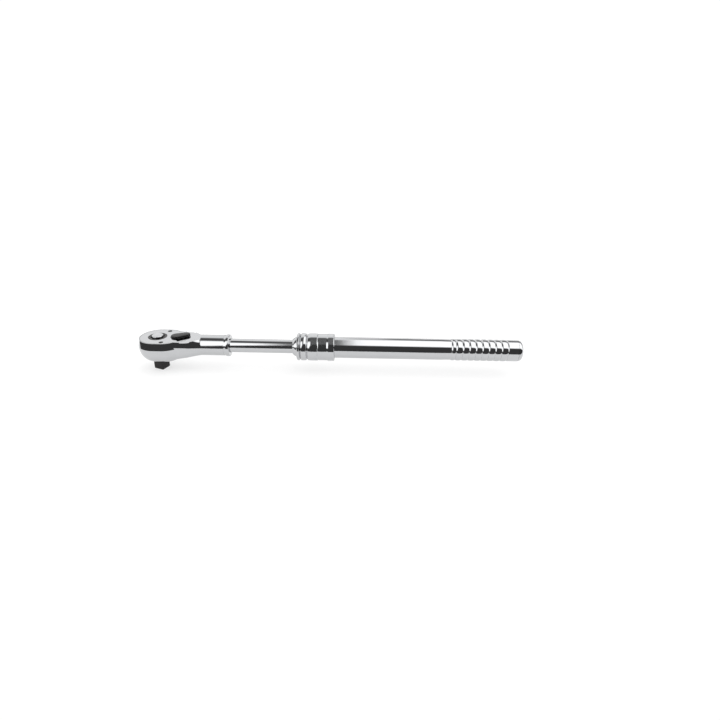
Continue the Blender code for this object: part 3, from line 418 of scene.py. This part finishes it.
def refinish(name, material):
    """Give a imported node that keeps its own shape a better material."""
    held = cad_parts[name].data.materials
    held.clear()
    held.append(material)


HEAD_CHROME = chrome("head_chrome", rough=0.045)
flare = np.linspace(0.0, 1.0, 16)
rim_turn = np.linspace(0.0, math.pi / 2, 16)
collar = np.vstack((
    ((SHANK_END - 3, SHANK_RADIUS - 1.0), (SHANK_END - 0.4, SHANK_RADIUS - 0.35)),
    np.column_stack((SHANK_END + 3.4 * flare, SHANK_RADIUS - 0.15 + 0.95 * smooth(flare))),
    np.column_stack((COLLAR_END - 1.0 + np.sin(rim_turn), COLLAR_RADIUS - 1.0 + np.cos(rim_turn))),
))
head = stacked("head", [(oblong(radius), height) for height, radius in bowl_levels()])
cut(head, [neck_solid("neck"), turned("collar", collar, axis="x", centre=(0, 0, AXIS))], "UNION", 8.5)
above = TOP_FACE + 10
socket_profile = ((COLLAR_END - ROD_SOCKET_DEPTH, ROD_RADIUS + GAP), (COLLAR_END + 5, ROD_RADIUS + GAP))
horns = box_outline(8, -PAWL_POCKET_RADIUS, PIVOT_X, PAWL_POCKET_RADIUS)
head_tools = [
    raised("top_milling", box_outline(-30, -30, FLAT_END, 30), TOP_FACE, TOP_FACE + 20),
    swing_recess("recess"),
    raised("plate_pocket", plate_plan(GAP), PLATE_BOTTOM - GAP, above),
    raised("gear_cavity", circle(CAVITY_RADIUS), CAVITY_FLOOR, above),
    raised("pawl_pocket", circle(PAWL_POCKET_RADIUS, (PIVOT_X, 0)), PAWL_POCKET_FLOOR, above),
    raised("horn_pocket", horns, PAWL_POCKET_FLOOR, above),
    raised("drive_hole", circle(DRIVE_HOLE_RADIUS), UNDERSIDE - 5, above),
    raised("shaft_hole", circle(3.3, (PIVOT_X, 0), 48), PAWL_POCKET_FLOOR - 1.8, above),
    turned("rod_socket", socket_profile, axis="x", centre=(0, 0, AXIS)),
    raised("pin_hole", circle(2.3, (ROD_PIN_X, 0), 48), 0, AXIS),
]
for screw in ("cover_screw_front", "cover_screw_rear"):
    low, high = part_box(screw)
    middle = ((low.x + high.x) / 2 / MM, (low.y + high.y) / 2 / MM)
    head_tools.append(raised(screw + "_hole", circle(1.6, middle, 32), low.z / MM - 1, above))
cut(head, head_tools, sharp=8.5)
finish(head, HEAD_CHROME, "head", "head_body")

# The cover plate: flat steel stamped to the pocket's outline, set flush and held by two
# small cross-head screws with a black finish. The screws' heads sit just below the face.
refinish("cover_plate", HEAD_CHROME)


def wear_group():
    """Bright metal where edges rub: the bevelled normal's turn away from the true one, broken by noise."""
    inputs = (("Edge Width", 0.0005), ("Wear", 1.0))
    group, given, result = group_of("edge_wear", inputs, (("Mask", "NodeSocketFloat"),))
    rounded = node(group, "ShaderNodeBevel", [("Radius", given.outputs["Edge Width"])], samples=4)
    true = node(group, "ShaderNodeNewGeometry").outputs["Normal"]
    both = [(0, rounded.outputs[0]), (1, true)]
    match = node(group, "ShaderNodeVectorMath", both, operation="DOT_PRODUCT").outputs["Value"]
    place = node(group, "ShaderNodeTexCoord").outputs["Object"]
    off = calculated(group, "SUBTRACT", 1.0, match)
    broken = calculated(group, "MULTIPLY", off, noise(group, place, 4.0, 700.0))
    share = calculated(group, "MULTIPLY", ranged(group, broken, 0.02, 0.12), given.outputs["Wear"])
    group.links.new(share, result.inputs["Mask"])
    return group


WEAR = wear_group()


def oxide(name, tint=(0.028, 0.027, 0.027, 1.0), worn=(0.38, 0.37, 0.36, 1.0), rough=0.22, wear=0.5):
    """Black finish on hardened steel: dark and satin, rubbed to bare metal along its edges."""
    material, tree, shader, traces = metal(name, rough, 0.12)
    edge = node(tree, "ShaderNodeGroup", node_tree=WEAR)
    edge.inputs["Wear"].default_value = wear
    tree.links.new(mixed(tree, edge.outputs["Mask"], tint, worn), shader.inputs["Base Color"])
    tree.links.new(bumped(tree, traces.outputs["Height"], 0.08, 0.0003), shader.inputs["Normal"])
    return material


SCREW_BLACK = oxide("screw_black", rough=0.3, wear=0.35)
refinish("cover_screw_front", SCREW_BLACK)
refinish("cover_screw_rear", SCREW_BLACK)

# The drive gear: toothed ring, journals and half-inch square in one hardened piece with a black
# finish. Its boss shows through the cover plate, and its square carries the ball's seat.
SQUARE_SIDE = 12.7
SQUARE_TURN = math.radians(-22.0)
SQUARE_ROUND = 1.0
SQUARE_CHAMFER = 1.2
TEETH = 36
GEAR_TIP = 13.5
GEAR_ROOT = 12.3
GEAR_BOTTOM = CAVITY_FLOOR + 1.3
GEAR_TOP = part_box("pawl")[1].z / MM
JOURNAL_RADIUS = 9.8
BOSS_RADIUS = 10.3
BUTTON_RADIUS = 6.4
FLANGE_RADIUS = 7.6
WELL_FLOOR = TOP_FACE - 10.1
FLANGE_TOP = TOP_FACE - 1.9
BALL_HEIGHT = 6.0


def gear_outline():
    """Straight-flanked teeth: root and tip radii alternate at fixed angles within each pitch."""
    tooth = np.arange(TEETH)[:, None] * math.tau / TEETH
    angle = (tooth + np.radians((-3.6, -1.2, 1.2, 3.6))).ravel()
    radius = np.tile((GEAR_ROOT, GEAR_TIP, GEAR_TIP, GEAR_ROOT), TEETH)
    return np.column_stack((radius * np.cos(angle), radius * np.sin(angle)))


def rounded_square(half, corner):
    """A square with round corners: each corner arc is centred half - corner from both middle lines."""
    sweep = np.linspace(0.0, math.pi / 2, 9)
    quarter = np.arange(4)[:, None] * math.pi / 2
    angle = (quarter + sweep).ravel()
    middle = (quarter + math.pi / 4 + 0 * sweep).ravel()
    reach = (half - corner) * math.sqrt(2)
    x = reach * np.cos(middle) + corner * np.cos(angle)
    y = reach * np.sin(middle) + corner * np.sin(angle)
    turn_x = x * math.cos(SQUARE_TURN) - y * math.sin(SQUARE_TURN)
    turn_y = x * math.sin(SQUARE_TURN) + y * math.cos(SQUARE_TURN)
    return np.column_stack((turn_x, turn_y))


half = SQUARE_SIDE / 2
square_levels = [
    (rounded_square(half - SQUARE_CHAMFER, SQUARE_ROUND * 0.6), 0.0),
    (rounded_square(half - SQUARE_CHAMFER * 0.35, SQUARE_ROUND * 0.9), SQUARE_CHAMFER * 0.45),
    (rounded_square(half, SQUARE_ROUND), SQUARE_CHAMFER),
    (rounded_square(half, SQUARE_ROUND), UNDERSIDE + 3),
]
spindle = (
    (UNDERSIDE, JOURNAL_RADIUS),
    (GEAR_BOTTOM + 3, JOURNAL_RADIUS),
    (GEAR_BOTTOM + 3, BOSS_RADIUS),
    (TOP_FACE - 0.4, BOSS_RADIUS),
    (TOP_FACE, BOSS_RADIUS - 0.4),
)
side = SQUARE_TURN + math.pi
out = np.array((math.cos(side), math.sin(side), 0.0))


def bar(name, radius, start, end, sides=48):
    """A round bar between two points: circles across the line that joins them."""
    start, end = np.asarray(start, float), np.asarray(end, float)
    line = (end - start) / np.linalg.norm(end - start)
    helper = np.array((0.0, 0.0, 1.0)) if abs(line[2]) < 0.9 else np.array((1.0, 0.0, 0.0))
    first = np.cross(line, helper)
    first /= np.linalg.norm(first)
    second = np.cross(line, first)
    angle = np.linspace(0.0, math.tau, sides, endpoint=False)[:, None]
    rim = radius * (np.cos(angle) * first + np.sin(angle) * second)
    ends = [list(range(sides))[::-1], list(range(sides, 2 * sides))]
    points = np.vstack((start + rim, end + rim))
    return outward(made(name, points, quads(2, sides, False).tolist() + ends))


drive = raised("drive", gear_outline(), GEAR_BOTTOM, GEAR_TOP)
cut(drive, [turned("spindle", spindle), stacked("square", square_levels)], "UNION")
ball_line = np.array((0.0, 0.0, BALL_HEIGHT))
cut(drive, [
    raised("rod_bore", circle(3.15), 1.2, WELL_FLOOR + 1),
    raised("button_well", circle(FLANGE_RADIUS + GAP), WELL_FLOOR, TOP_FACE + 5),
    raised("ring_groove", circle(FLANGE_RADIUS + 0.9), FLANGE_TOP, FLANGE_TOP + 1),
    bar("ball_bore", 2.3, ball_line, ball_line + out * (half - 0.3)),
    bar("ball_mouth", 1.9, ball_line, ball_line + out * 20),
])
DRIVE_BLACK = oxide("drive_black", tint=(0.035, 0.034, 0.034, 1.0), rough=0.2, wear=0.7)
finish(drive, DRIVE_BLACK, "drive", "drive_gear", slot="black_oxide")

# The quick-release button: a turned steel cap with a faintly crowned top, chrome plated. It stands
# in the drive's well on a light spring, held by a flat ring, and pushes the release rod.
BUTTON_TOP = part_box("release_button")[1].z / MM
BUTTON_EDGE = 0.7
edge_turn = np.linspace(0.0, math.pi / 2, 10)
edge_rows = np.column_stack((
    BUTTON_TOP - 0.15 - BUTTON_EDGE * (1 - np.sin(edge_turn)),
    BUTTON_RADIUS - BUTTON_EDGE * (1 - np.cos(edge_turn)),
))
crown = np.linspace(1.0, 0.0, 16)[1:-1]
crown_rows = np.column_stack((BUTTON_TOP - 0.15 * crown**2, (BUTTON_RADIUS - BUTTON_EDGE) * crown))
button_low = FLANGE_TOP - 1.9
button_rows = np.vstack((
    ((BUTTON_TOP - 2.1, 3.1), (button_low, 3.1), (button_low, FLANGE_RADIUS), (FLANGE_TOP, FLANGE_RADIUS)),
    ((FLANGE_TOP, BUTTON_RADIUS),),
    edge_rows,
    crown_rows,
))
button = turned("button", button_rows, sharp=40.0)
finish(button, chrome("button_chrome", rough=0.07), "button", "release_button")
ring_low, ring_high = (corner.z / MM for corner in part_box("button_retaining_ring"))
ring_rows = ((ring_low, 6.7), (ring_low, 8.2), (ring_high, 8.2), (ring_high, 6.7))
retainer = turned("retainer", ring_rows, ring=True)
finish(retainer, SCREW_BLACK, "drive", "button_retaining_ring", slot="black_oxide")

# The reversing lever: an investment-cast thumb lever with a round hub and a narrower tip, black
# finished, with softened edges. It sits on the selector shaft's square tang, held by a cross pin.
LEVER_THROW = math.radians(27.0)
LEVER_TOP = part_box("reverse_lever")[1].z / MM
LEVER_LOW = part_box("reverse_lever")[0].z / MM
HUB_RADIUS = 6.0
TIP_RADIUS = 4.3
TIP_DISTANCE = 11.5
LEVER_EDGE = 1.1


def capsule(first_radius, second_radius, distance, points=48):
    """The belt line round two circles: the first about the origin, the second further along X."""
    lean = math.acos((first_radius - second_radius) / distance)
    nose = np.linspace(-lean, lean, points)
    back = np.linspace(lean, math.tau - lean, 2 * points)
    far = np.column_stack((distance + second_radius * np.cos(nose), second_radius * np.sin(nose)))
    near = np.column_stack((first_radius * np.cos(back), first_radius * np.sin(back)))
    return np.vstack((far, near))


def lever_outline(inset):
    """The lever's plan drawn in by an inset and swung to its throw about the pivot."""
    plan = capsule(HUB_RADIUS - inset, TIP_RADIUS - inset, TIP_DISTANCE)
    x = PIVOT_X + plan[:, 0] * math.cos(LEVER_THROW) - plan[:, 1] * math.sin(LEVER_THROW)
    y = plan[:, 0] * math.sin(LEVER_THROW) + plan[:, 1] * math.cos(LEVER_THROW)
    return np.column_stack((x, y))


edge_turn = np.linspace(0.0, math.pi / 2, 8)
lever_levels = [(lever_outline(0.35), LEVER_LOW), (lever_outline(0.0), LEVER_LOW + 0.35)]
lever_levels += [
    (lever_outline(LEVER_EDGE * (1 - math.cos(turn))), LEVER_TOP - LEVER_EDGE * (1 - math.sin(turn)))
    for turn in edge_turn
]
lever = stacked("lever", lever_levels, sharp=50.0)
tang = rounded_square(2.5, 0.2)
swung = LEVER_THROW - SQUARE_TURN
tang = np.column_stack((
    PIVOT_X + tang[:, 0] * math.cos(swung) - tang[:, 1] * math.sin(swung),
    tang[:, 0] * math.sin(swung) + tang[:, 1] * math.cos(swung),
))
across = np.array((-math.sin(LEVER_THROW), math.cos(LEVER_THROW), 0.0))
pin_middle = np.array((PIVOT_X, 0.0, RECESS_FLOOR + 1.25))
cut(lever, [
    raised("tang_socket", tang, 0, LEVER_TOP - 0.6),
    bar("pin_passage", 0.65, pin_middle - across * 9, pin_middle + across * 9, 24),
], sharp=50.0)
LEVER_BLACK = oxide("lever_black", tint=(0.03, 0.029, 0.029, 1.0), rough=0.2, wear=0.6)
finish(lever, LEVER_BLACK, "selector", "reverse_lever", slot="black_oxide")

# The telescoping rod: drawn and ground tube stock, chrome plated, pinned in the shank's socket.
# Seven ball dimples run along its underside and a key slot along its far side.
ROD_LOW, ROD_HIGH = (corner.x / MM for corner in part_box("inner_rod"))
CLIP_LOW, CLIP_HIGH = (corner.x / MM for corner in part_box("rod_stop_clip"))
BALL_X = (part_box("lock_ball")[0].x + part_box("lock_ball")[1].x) / 2 / MM
KEY_X = (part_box("guide_key")[0].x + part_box("guide_key")[1].x) / 2 / MM
DIMPLE_RADIUS = 2.8
DIMPLE_DEPTH = 1.5
DIMPLE_PITCH = 10.0
DIMPLES = 7
rod_rows = (
    (ROD_LOW, ROD_RADIUS - 0.8),
    (ROD_LOW + 0.8, ROD_RADIUS),
    (CLIP_LOW - GAP, ROD_RADIUS),
    (CLIP_LOW - GAP, 6.9),
    (CLIP_HIGH + GAP, 6.9),
    (CLIP_HIGH + GAP, ROD_RADIUS),
    (ROD_HIGH - 0.8, ROD_RADIUS),
    (ROD_HIGH, ROD_RADIUS - 0.8),
)


def ball(name, radius, centre):
    """A ball: its half circle from pole to pole turned about Z."""
    rise = np.linspace(-math.pi / 2, math.pi / 2, 26)[1:-1]
    rows = np.column_stack((radius * np.sin(rise), radius * np.cos(rise)))
    return turned(name, rows, centre=centre, sides=48)


rod = turned("rod", rod_rows, axis="x", centre=(0, 0, AXIS))
dimple_z = AXIS - ROD_RADIUS + DIMPLE_DEPTH - DIMPLE_RADIUS
rod_tools = [
    ball("dimple", DIMPLE_RADIUS, (BALL_X - step * DIMPLE_PITCH, 0, dimple_z)) for step in range(DIMPLES)
]
slot_start = KEY_X - DIMPLE_PITCH * (DIMPLES - 1) - 2.5
slot_plan = box_outline(slot_start, ROD_RADIUS - 1.6, KEY_X + 2.5, ROD_RADIUS + 1)
rod_tools.append(raised("key_slot", slot_plan, AXIS - 1.6, AXIS + 1.6))
rod_tools.append(raised("rod_pin_hole", circle(2.3, (ROD_PIN_X, 0), 48), 0, AXIS))
cut(rod, rod_tools)
finish(rod, chrome("rod_chrome", rough=0.055, ripple=0.015), "head", "inner_rod")

# The nose guide: a turned, plated bush pressed into the tube. Its coned nose shows in front of
# the sleeve, and a cross hole in its underside carries the lock ball.
NOSE_LOW, NOSE_HIGH = (corner.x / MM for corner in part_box("nose_guide"))
SLEEVE_LOW, SLEEVE_HIGH = (corner.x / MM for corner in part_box("lock_sleeve"))
TUBE_LOW, TUBE_HIGH = (corner.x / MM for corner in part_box("outer_tube"))
GUIDE_RADIUS = 11.7
TUBE_BORE = 10.1
SPIGOT_RADIUS = TUBE_BORE - GAP
cone = np.linspace(0.0, 1.0, 12)
cone_rows = np.column_stack((NOSE_LOW + 0.6 + 4.0 * cone, 9.5 + 2.0 * np.sin(cone * math.pi / 2) ** 0.9))
guide_rows = np.vstack((
    ((NOSE_LOW, ROD_RADIUS + GAP), (NOSE_LOW, 9.0), (NOSE_LOW + 0.25, 9.35)),
    cone_rows,
    ((SLEEVE_LOW, GUIDE_RADIUS), (TUBE_LOW - GAP, GUIDE_RADIUS), (TUBE_LOW - GAP, SPIGOT_RADIUS)),
    ((NOSE_HIGH - 0.8, SPIGOT_RADIUS), (NOSE_HIGH, SPIGOT_RADIUS - 0.6), (NOSE_HIGH, ROD_RADIUS + GAP)),
))
guide = turned("guide", guide_rows, ring=True, axis="x", centre=(0, 0, AXIS))
cut(guide, [
    bar("lock_ball_hole", 2.8, (BALL_X, 0, AXIS), (BALL_X, 0, 0)),
    bar("key_hole", 1.5, (KEY_X, 0, AXIS), (KEY_X, 20, AXIS)),
])
finish(guide, chrome("guide_chrome"), "handle", "nose_guide")

# The lock sleeve: a turned and plated collar that slides back against its spring to free the
# lock ball. Two round grooves set off a bead at its front, and a shallow flat behind gives grip.
SLEEVE_RADIUS = (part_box("lock_sleeve")[1].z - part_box("lock_sleeve")[0].z) / 2 / MM
SLEEVE_LENGTH = SLEEVE_HIGH - SLEEVE_LOW
BALL_OPEN_RADIUS = 13.9
BALL_CLOSED_RADIUS = 12.1
CHAMBER_RADIUS = GUIDE_RADIUS + 2.6
CHAMBER_FRONT = 24.5
FLAT_FRONT = 24.4
FLAT_REAR = 34.4
FLAT_DEPTH = 0.5
SLEEVE_GROOVES = ((4.0, 1.1, 1.3), (11.9, 1.1, 1.3), (FLAT_FRONT, 0.6, 0.6))


def sleeve_radius(x):
    """The sleeve's outside radius at each distance from its front edge.

    A groove takes off depth * (1 + cos(pi * u)) / 2 for u = (x - middle) / half width. The bead
    between the first two is crowned by u^2, the band behind has a u^2 shoulder, a shallow flat
    eases up to the rear lip, and both ends are rounded.
    """
    radius = np.full_like(x, SLEEVE_RADIUS)
    for middle, depth, half_width in SLEEVE_GROOVES:
        radius -= depth * (1 + np.cos(math.pi * np.clip((x - middle) / half_width, -1.0, 1.0))) / 2
    radius -= 0.35 * (np.clip((x - 7.6) / 3.6, -1.0, 1.0) ** 2) * (np.abs(x - 7.95) < 3.95)
    radius -= 0.35 * np.clip((17.0 - x) / 4.0, 0.0, 1.0) ** 2 * (x > 11.9)
    radius -= FLAT_DEPTH * smooth((x - FLAT_FRONT) / 0.6) * (1 - smooth((x - FLAT_REAR) / 2.2))
    radius -= 1.2 * np.clip(1 - x / 1.5, 0.0, 1.0) ** 2.2
    radius -= 0.8 * np.clip(1 - (SLEEVE_LENGTH - x) / 0.8, 0.0, 1.0) ** 2.2
    return radius


distance = np.unique(np.concatenate((
    np.linspace(0.0, 1.5, 12),
    np.linspace(1.5, SLEEVE_LENGTH - 0.8, 260),
    np.linspace(SLEEVE_LENGTH - 0.8, SLEEVE_LENGTH, 10),
)))
sleeve_rows = np.vstack((
    np.column_stack((SLEEVE_LOW + distance, sleeve_radius(distance))),
    ((SLEEVE_HIGH, CHAMBER_RADIUS), (SLEEVE_LOW + CHAMBER_FRONT, CHAMBER_RADIUS)),
    ((SLEEVE_LOW + CHAMBER_FRONT, BALL_CLOSED_RADIUS),),
    ((BALL_X, BALL_CLOSED_RADIUS), (BALL_X - 6.0, BALL_OPEN_RADIUS), (SLEEVE_LOW + 9.6, BALL_OPEN_RADIUS)),
    ((SLEEVE_LOW + 8.6, GUIDE_RADIUS + GAP), (SLEEVE_LOW, GUIDE_RADIUS + GAP)),
))
sleeve = turned("sleeve", sleeve_rows, ring=True, axis="x", centre=(0, 0, AXIS), sides=160, sharp=28.0)
SLEEVE_CHROME = chrome("sleeve_chrome", rough=0.045)
finish(sleeve, SLEEVE_CHROME, "sleeve", "lock_sleeve")
ring_low, ring_high = (corner.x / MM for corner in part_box("sleeve_end_ring"))
end_ring_rows = (
    (ring_low, 12.6),
    (ring_low, 14.0),
    (ring_high - 0.3, 14.0),
    (ring_high, 13.7),
    (ring_high, 12.9),
    (ring_high - 0.3, 12.6),
)
end_ring = turned("end_ring", end_ring_rows, ring=True, axis="x", centre=(0, 0, AXIS))
finish(end_ring, SLEEVE_CHROME, "sleeve", "sleeve_end_ring")

# The handle tube: seamless steel tube with rounded ribs rolled into its grip, chrome plated.
# A pressed-in steel plug closes its end, rounded over and plated with it.
TUBE_RADIUS = 12.3
RIB_LEAD_IN = 340.2
RIB_FIRST = 345.5
RIB_PITCH = 7.5
RIB_COUNT = 9
RIB_PEAK = 12.7
RIB_VALLEY = 11.95
END_CORNER = 4.5
PLUG_RADIUS = RIB_PEAK - 0.4


def rib_rows():
    """The ribbed grip: between two valleys the radius rises as the square root of a half sine."""
    valleys = np.concatenate(((RIB_LEAD_IN,), RIB_FIRST + RIB_PITCH * np.arange(RIB_COUNT)))
    share = np.linspace(0.0, 1.0, 16, endpoint=False)[None, :]
    x = valleys[:-1, None] + np.diff(valleys)[:, None] * share
    radius = RIB_VALLEY + (RIB_PEAK - RIB_VALLEY) * np.sin(math.pi * share) ** 0.5 + 0 * x
    return np.column_stack((x.ravel(), radius.ravel())), valleys[-1]


ribs, last_valley = rib_rows()
lead = np.linspace(RIB_LEAD_IN - 12, RIB_LEAD_IN - 1, 10)
lead_rows = np.column_stack((lead, TUBE_RADIUS - 0.25 * smooth((lead - lead[0]) / 9)))
climb = np.linspace(0.0, 1.0, 8)
shoulder_radius = RIB_VALLEY + 0.55 * np.sin(climb * math.pi / 2) ** 0.5
shoulder = np.column_stack((last_valley + 2.2 * climb, shoulder_radius))
tube_rows = np.vstack((
    ((TUBE_LOW, TUBE_RADIUS - 0.4), (TUBE_LOW + 0.4, TUBE_RADIUS)),
    lead_rows,
    ribs,
    shoulder,
    ((TUBE_HIGH, RIB_PEAK - 0.2), (TUBE_HIGH, TUBE_BORE), (TUBE_LOW, TUBE_BORE)),
))
tube = turned("tube", tube_rows, ring=True, axis="x", centre=(0, 0, AXIS), sides=160, sharp=38.0)
TUBE_CHROME = chrome("tube_chrome", rough=0.05, ripple=0.02)
finish(tube, TUBE_CHROME, "handle", "outer_tube")
PLUG_LOW, PLUG_HIGH = (corner.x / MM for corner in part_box("end_plug"))
corner_turn = np.linspace(0.0, math.pi / 2, 24)
corner_rows = np.column_stack((
    PLUG_HIGH - END_CORNER * (1 - np.sin(corner_turn)),
    PLUG_RADIUS - END_CORNER * (1 - np.cos(corner_turn)),
))
plug_rows = np.vstack((
    ((PLUG_LOW, SPIGOT_RADIUS - 0.5), (PLUG_LOW + 1, SPIGOT_RADIUS), (TUBE_HIGH + GAP, SPIGOT_RADIUS)),
    ((TUBE_HIGH + GAP, PLUG_RADIUS),),
    corner_rows,
))
plug = turned("plug", plug_rows, axis="x", centre=(0, 0, AXIS), sides=160)
finish(plug, TUBE_CHROME, "handle", "end_plug")

# The works inside: ground washers, pawl, pins and balls, and springs wound from hard wire.
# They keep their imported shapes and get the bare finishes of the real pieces.


def bare(name, tint, rough, grind):
    """Uncoated steel: fine grinding lines across the piece, with an oily, uneven sheen."""
    material, tree, shader = metal(name, rough, 0.15)[:3]
    place = node(tree, "ShaderNodeTexCoord").outputs["Object"]
    lines = node(tree, "ShaderNodeMapping", [("Vector", place)], Scale=(grind, grind * 0.08, grind))
    grain = noise(tree, lines.outputs[0], 3.0, 2.0)
    shade = tuple(part * 0.8 for part in tint[:3]) + (1.0,)
    tree.links.new(mixed(tree, grain, tint, shade), shader.inputs["Base Color"])
    tree.links.new(bumped(tree, grain, 0.15, 0.0002), shader.inputs["Normal"])
    return material


GROUND = bare("ground_steel", (0.56, 0.55, 0.53, 1.0), 0.18, 2500.0)
SPRING = bare("spring_steel", (0.36, 0.35, 0.34, 1.0), 0.25, 1200.0)
for ground in ("bottom_washer", "thrust_ring", "pawl", "pawl_plunger", "selector_shaft", "lever_pin",
               "rod_pin", "release_rod", "socket_detent_ball", "lock_ball", "guide_key", "rod_stop_ring"):
    refinish(ground, GROUND)
for spring in ("button_spring", "plunger_spring", "sleeve_spring", "rod_stop_clip", "spring_stop_ring"):
    refinish(spring, SPRING)

# The table: a sheet of white acrylic lit from below, so that shadows on it stay faint. It ends
# close to the tool at the front and on the left. The room is a studio with one long overhead
# softbox, whose light falls off towards a dark end where the viewer stands.
FLOOR_FRONT = -0.125
FLOOR_LEFT = -0.14
FLOOR_REACH = 3.0
SHEET_THICKNESS = 0.3
sheet_plan = box_outline(FLOOR_LEFT / MM, FLOOR_FRONT / MM, FLOOR_REACH / MM, FLOOR_REACH / MM)
floor = raised("floor", sheet_plan, -SHEET_THICKNESS, 0.0)
FLOOR_WHITE = bpy.data.materials.new("lit_white_acrylic")
FLOOR_WHITE.use_nodes = True
acrylic = FLOOR_WHITE.node_tree
sheet = acrylic.nodes["Principled BSDF"]
sheet.inputs["Roughness"].default_value = 0.9
sheet.inputs["Specular IOR Level"].default_value = 0.1
sheet.inputs["Emission Color"].default_value = (1.0, 1.0, 1.0, 1.0)
sheet.inputs["Emission Strength"].default_value = 0.68
place = node(acrylic, "ShaderNodeTexCoord").outputs["Object"]
white = mixed(acrylic, noise(acrylic, place, 4.0, 300.0), (0.31, 0.31, 0.31, 1.0), (0.29, 0.29, 0.29, 1.0))
acrylic.links.new(white, sheet.inputs["Base Color"])
floor.data.materials.append(FLOOR_WHITE)

world = bpy.data.worlds.new("studio")
bpy.context.scene.world = world
world.use_nodes = True
sky = world.node_tree
sky.nodes.clear()
way = node(sky, "ShaderNodeSeparateXYZ", [(0, node(sky, "ShaderNodeTexCoord").outputs["Generated"])])
facing = calculated(sky, "MULTIPLY", way.outputs["Y"], -1.0)
elevation = calculated(sky, "DEGREES", calculated(sky, "ARCTAN2", way.outputs["Z"], facing))


def stops(source, low, high, pairs):
    """A ramp of grey levels: each pair is (value of the source, brightness)."""
    ramp = node(sky, "ShaderNodeValToRGB", [(0, ranged(sky, source, low, high))])
    while len(ramp.color_ramp.elements) < len(pairs):
        ramp.color_ramp.elements.new(0.5)
    for stop, (value, level) in zip(ramp.color_ramp.elements, pairs):
        stop.position = (value - low) / (high - low)
    for stop, (value, level) in zip(ramp.color_ramp.elements, pairs):
        stop.color = (level, level, level, 1.0)
    return ramp.outputs[0]


def between(factor, first, second):
    """Mix two colour sockets by a factor socket."""
    blend = node(sky, "ShaderNodeMix", [("Factor", factor)], data_type="RGBA")
    sockets = [socket for socket in blend.inputs if socket.type == "RGBA"]
    sky.links.new(first, sockets[0])
    sky.links.new(second, sockets[1])
    return [socket for socket in blend.outputs if socket.type == "RGBA"][0]


def eased(source, low, high):
    """A share that rises smoothly from 0 at low to 1 at high."""
    return ranged(sky, source, low, high, "SMOOTHSTEP")


# Brightness by the angle above the viewer's horizon, for four zones from left to right.
DARK = 0.06
SOFTBOX = 2.0
far_back = ((169.0, 1.3), (174.0, 0.3), (200.0, 0.3))
left = stops(elevation, 0.0, 200.0, (
    (0.0, SOFTBOX), (62.0, SOFTBOX), (76.0, 0.12), (103.0, 0.12), (118.0, 1.2), (158.0, 1.2)) + far_back)
middle = stops(elevation, 0.0, 200.0, ((0.0, 0.17), (108.0, 0.17), (120.0, 1.2), (158.0, 1.3)) + far_back)
near_right = stops(elevation, 0.0, 200.0, (
    (0.0, SOFTBOX), (113.0, SOFTBOX), (128.0, 0.85), (150.0, 0.8), (158.0, 1.3)) + far_back)
far_right = stops(elevation, 0.0, 200.0, (
    (0.0, SOFTBOX), (116.0, SOFTBOX), (134.0, 0.14), (148.0, 0.14), (158.0, 1.3)) + far_back)
aside = way.outputs["X"]
room = between(eased(aside, -0.20, -0.11), left, middle)
room = between(eased(aside, -0.044, 0.014), room, near_right)
room = between(eased(aside, 0.03, 0.09), room, far_right)
# The dark end starts higher towards the left: the added angle is 400 d^2, held to 36 degrees, for
# the distance d to the left of a line just right of the middle.
DARK_LINE = 0.02
leftward = calculated(sky, "MINIMUM", calculated(sky, "SUBTRACT", aside, DARK_LINE), 0.0)
squared = calculated(sky, "MULTIPLY", leftward, leftward)
held = calculated(sky, "MINIMUM", calculated(sky, "MULTIPLY", squared, 400.0), 36.0)
height = calculated(sky, "ADD", elevation, held)
dark = stops(height, 0.0, 100.0, ((0.0, DARK), (100.0, DARK)))
room_colour = between(eased(height, 43.0, 56.0), dark, room)
glow = node(sky, "ShaderNodeBackground", [("Color", room_colour)], Strength=1.0)
plain = node(sky, "ShaderNodeBackground", Color=(1.05, 1.05, 1.05, 1.0), Strength=1.0)
seen = node(sky, "ShaderNodeLightPath").outputs["Is Camera Ray"]
shown = node(sky, "ShaderNodeMixShader", [(0, seen), (1, glow.outputs[0]), (2, plain.outputs[0])])
node(sky, "ShaderNodeOutputWorld", [("Surface", shown.outputs[0])])

lamp_data = bpy.data.lights.new("overhead_fill", "SUN")
lamp_data.energy = 1.0
lamp_data.angle = math.radians(70.0)
lamp = bpy.data.objects.new("overhead_fill", lamp_data)
lamp.visible_glossy = False
bpy.context.scene.collection.objects.link(lamp)

# The viewpoint: slightly above the tool and square to its middle.
VIEW_AZIMUTH = math.radians(0.415)
VIEW_ELEVATION = math.radians(26.31)
VIEW_ROLL = math.radians(1.268)
VIEW_DISTANCE = 0.6218
VIEW_TARGET = Vector((0.23496, 0.0, AXIS * MM - 0.01586))
eye_data = bpy.data.cameras.new("eye")
eye_data.sensor_width = 36.0
eye_data.lens = 26.28
eye = bpy.data.objects.new("eye", eye_data)
ahead = Vector((
    math.sin(VIEW_AZIMUTH) * math.cos(VIEW_ELEVATION),
    math.cos(VIEW_AZIMUTH) * math.cos(VIEW_ELEVATION),
    -math.sin(VIEW_ELEVATION),
))
eye.location = VIEW_TARGET - ahead * VIEW_DISTANCE
right = ahead.cross(Vector((0, 0, 1))).normalized()
up = right.cross(ahead)
rolled_right = right * math.cos(VIEW_ROLL) + up * math.sin(VIEW_ROLL)
rolled_up = up * math.cos(VIEW_ROLL) - right * math.sin(VIEW_ROLL)
eye.rotation_euler = Matrix((rolled_right, rolled_up, -ahead)).transposed().to_euler()
bpy.context.scene.collection.objects.link(eye)
bpy.context.scene.camera = eye
bpy.context.scene.view_settings.view_transform = "Standard"
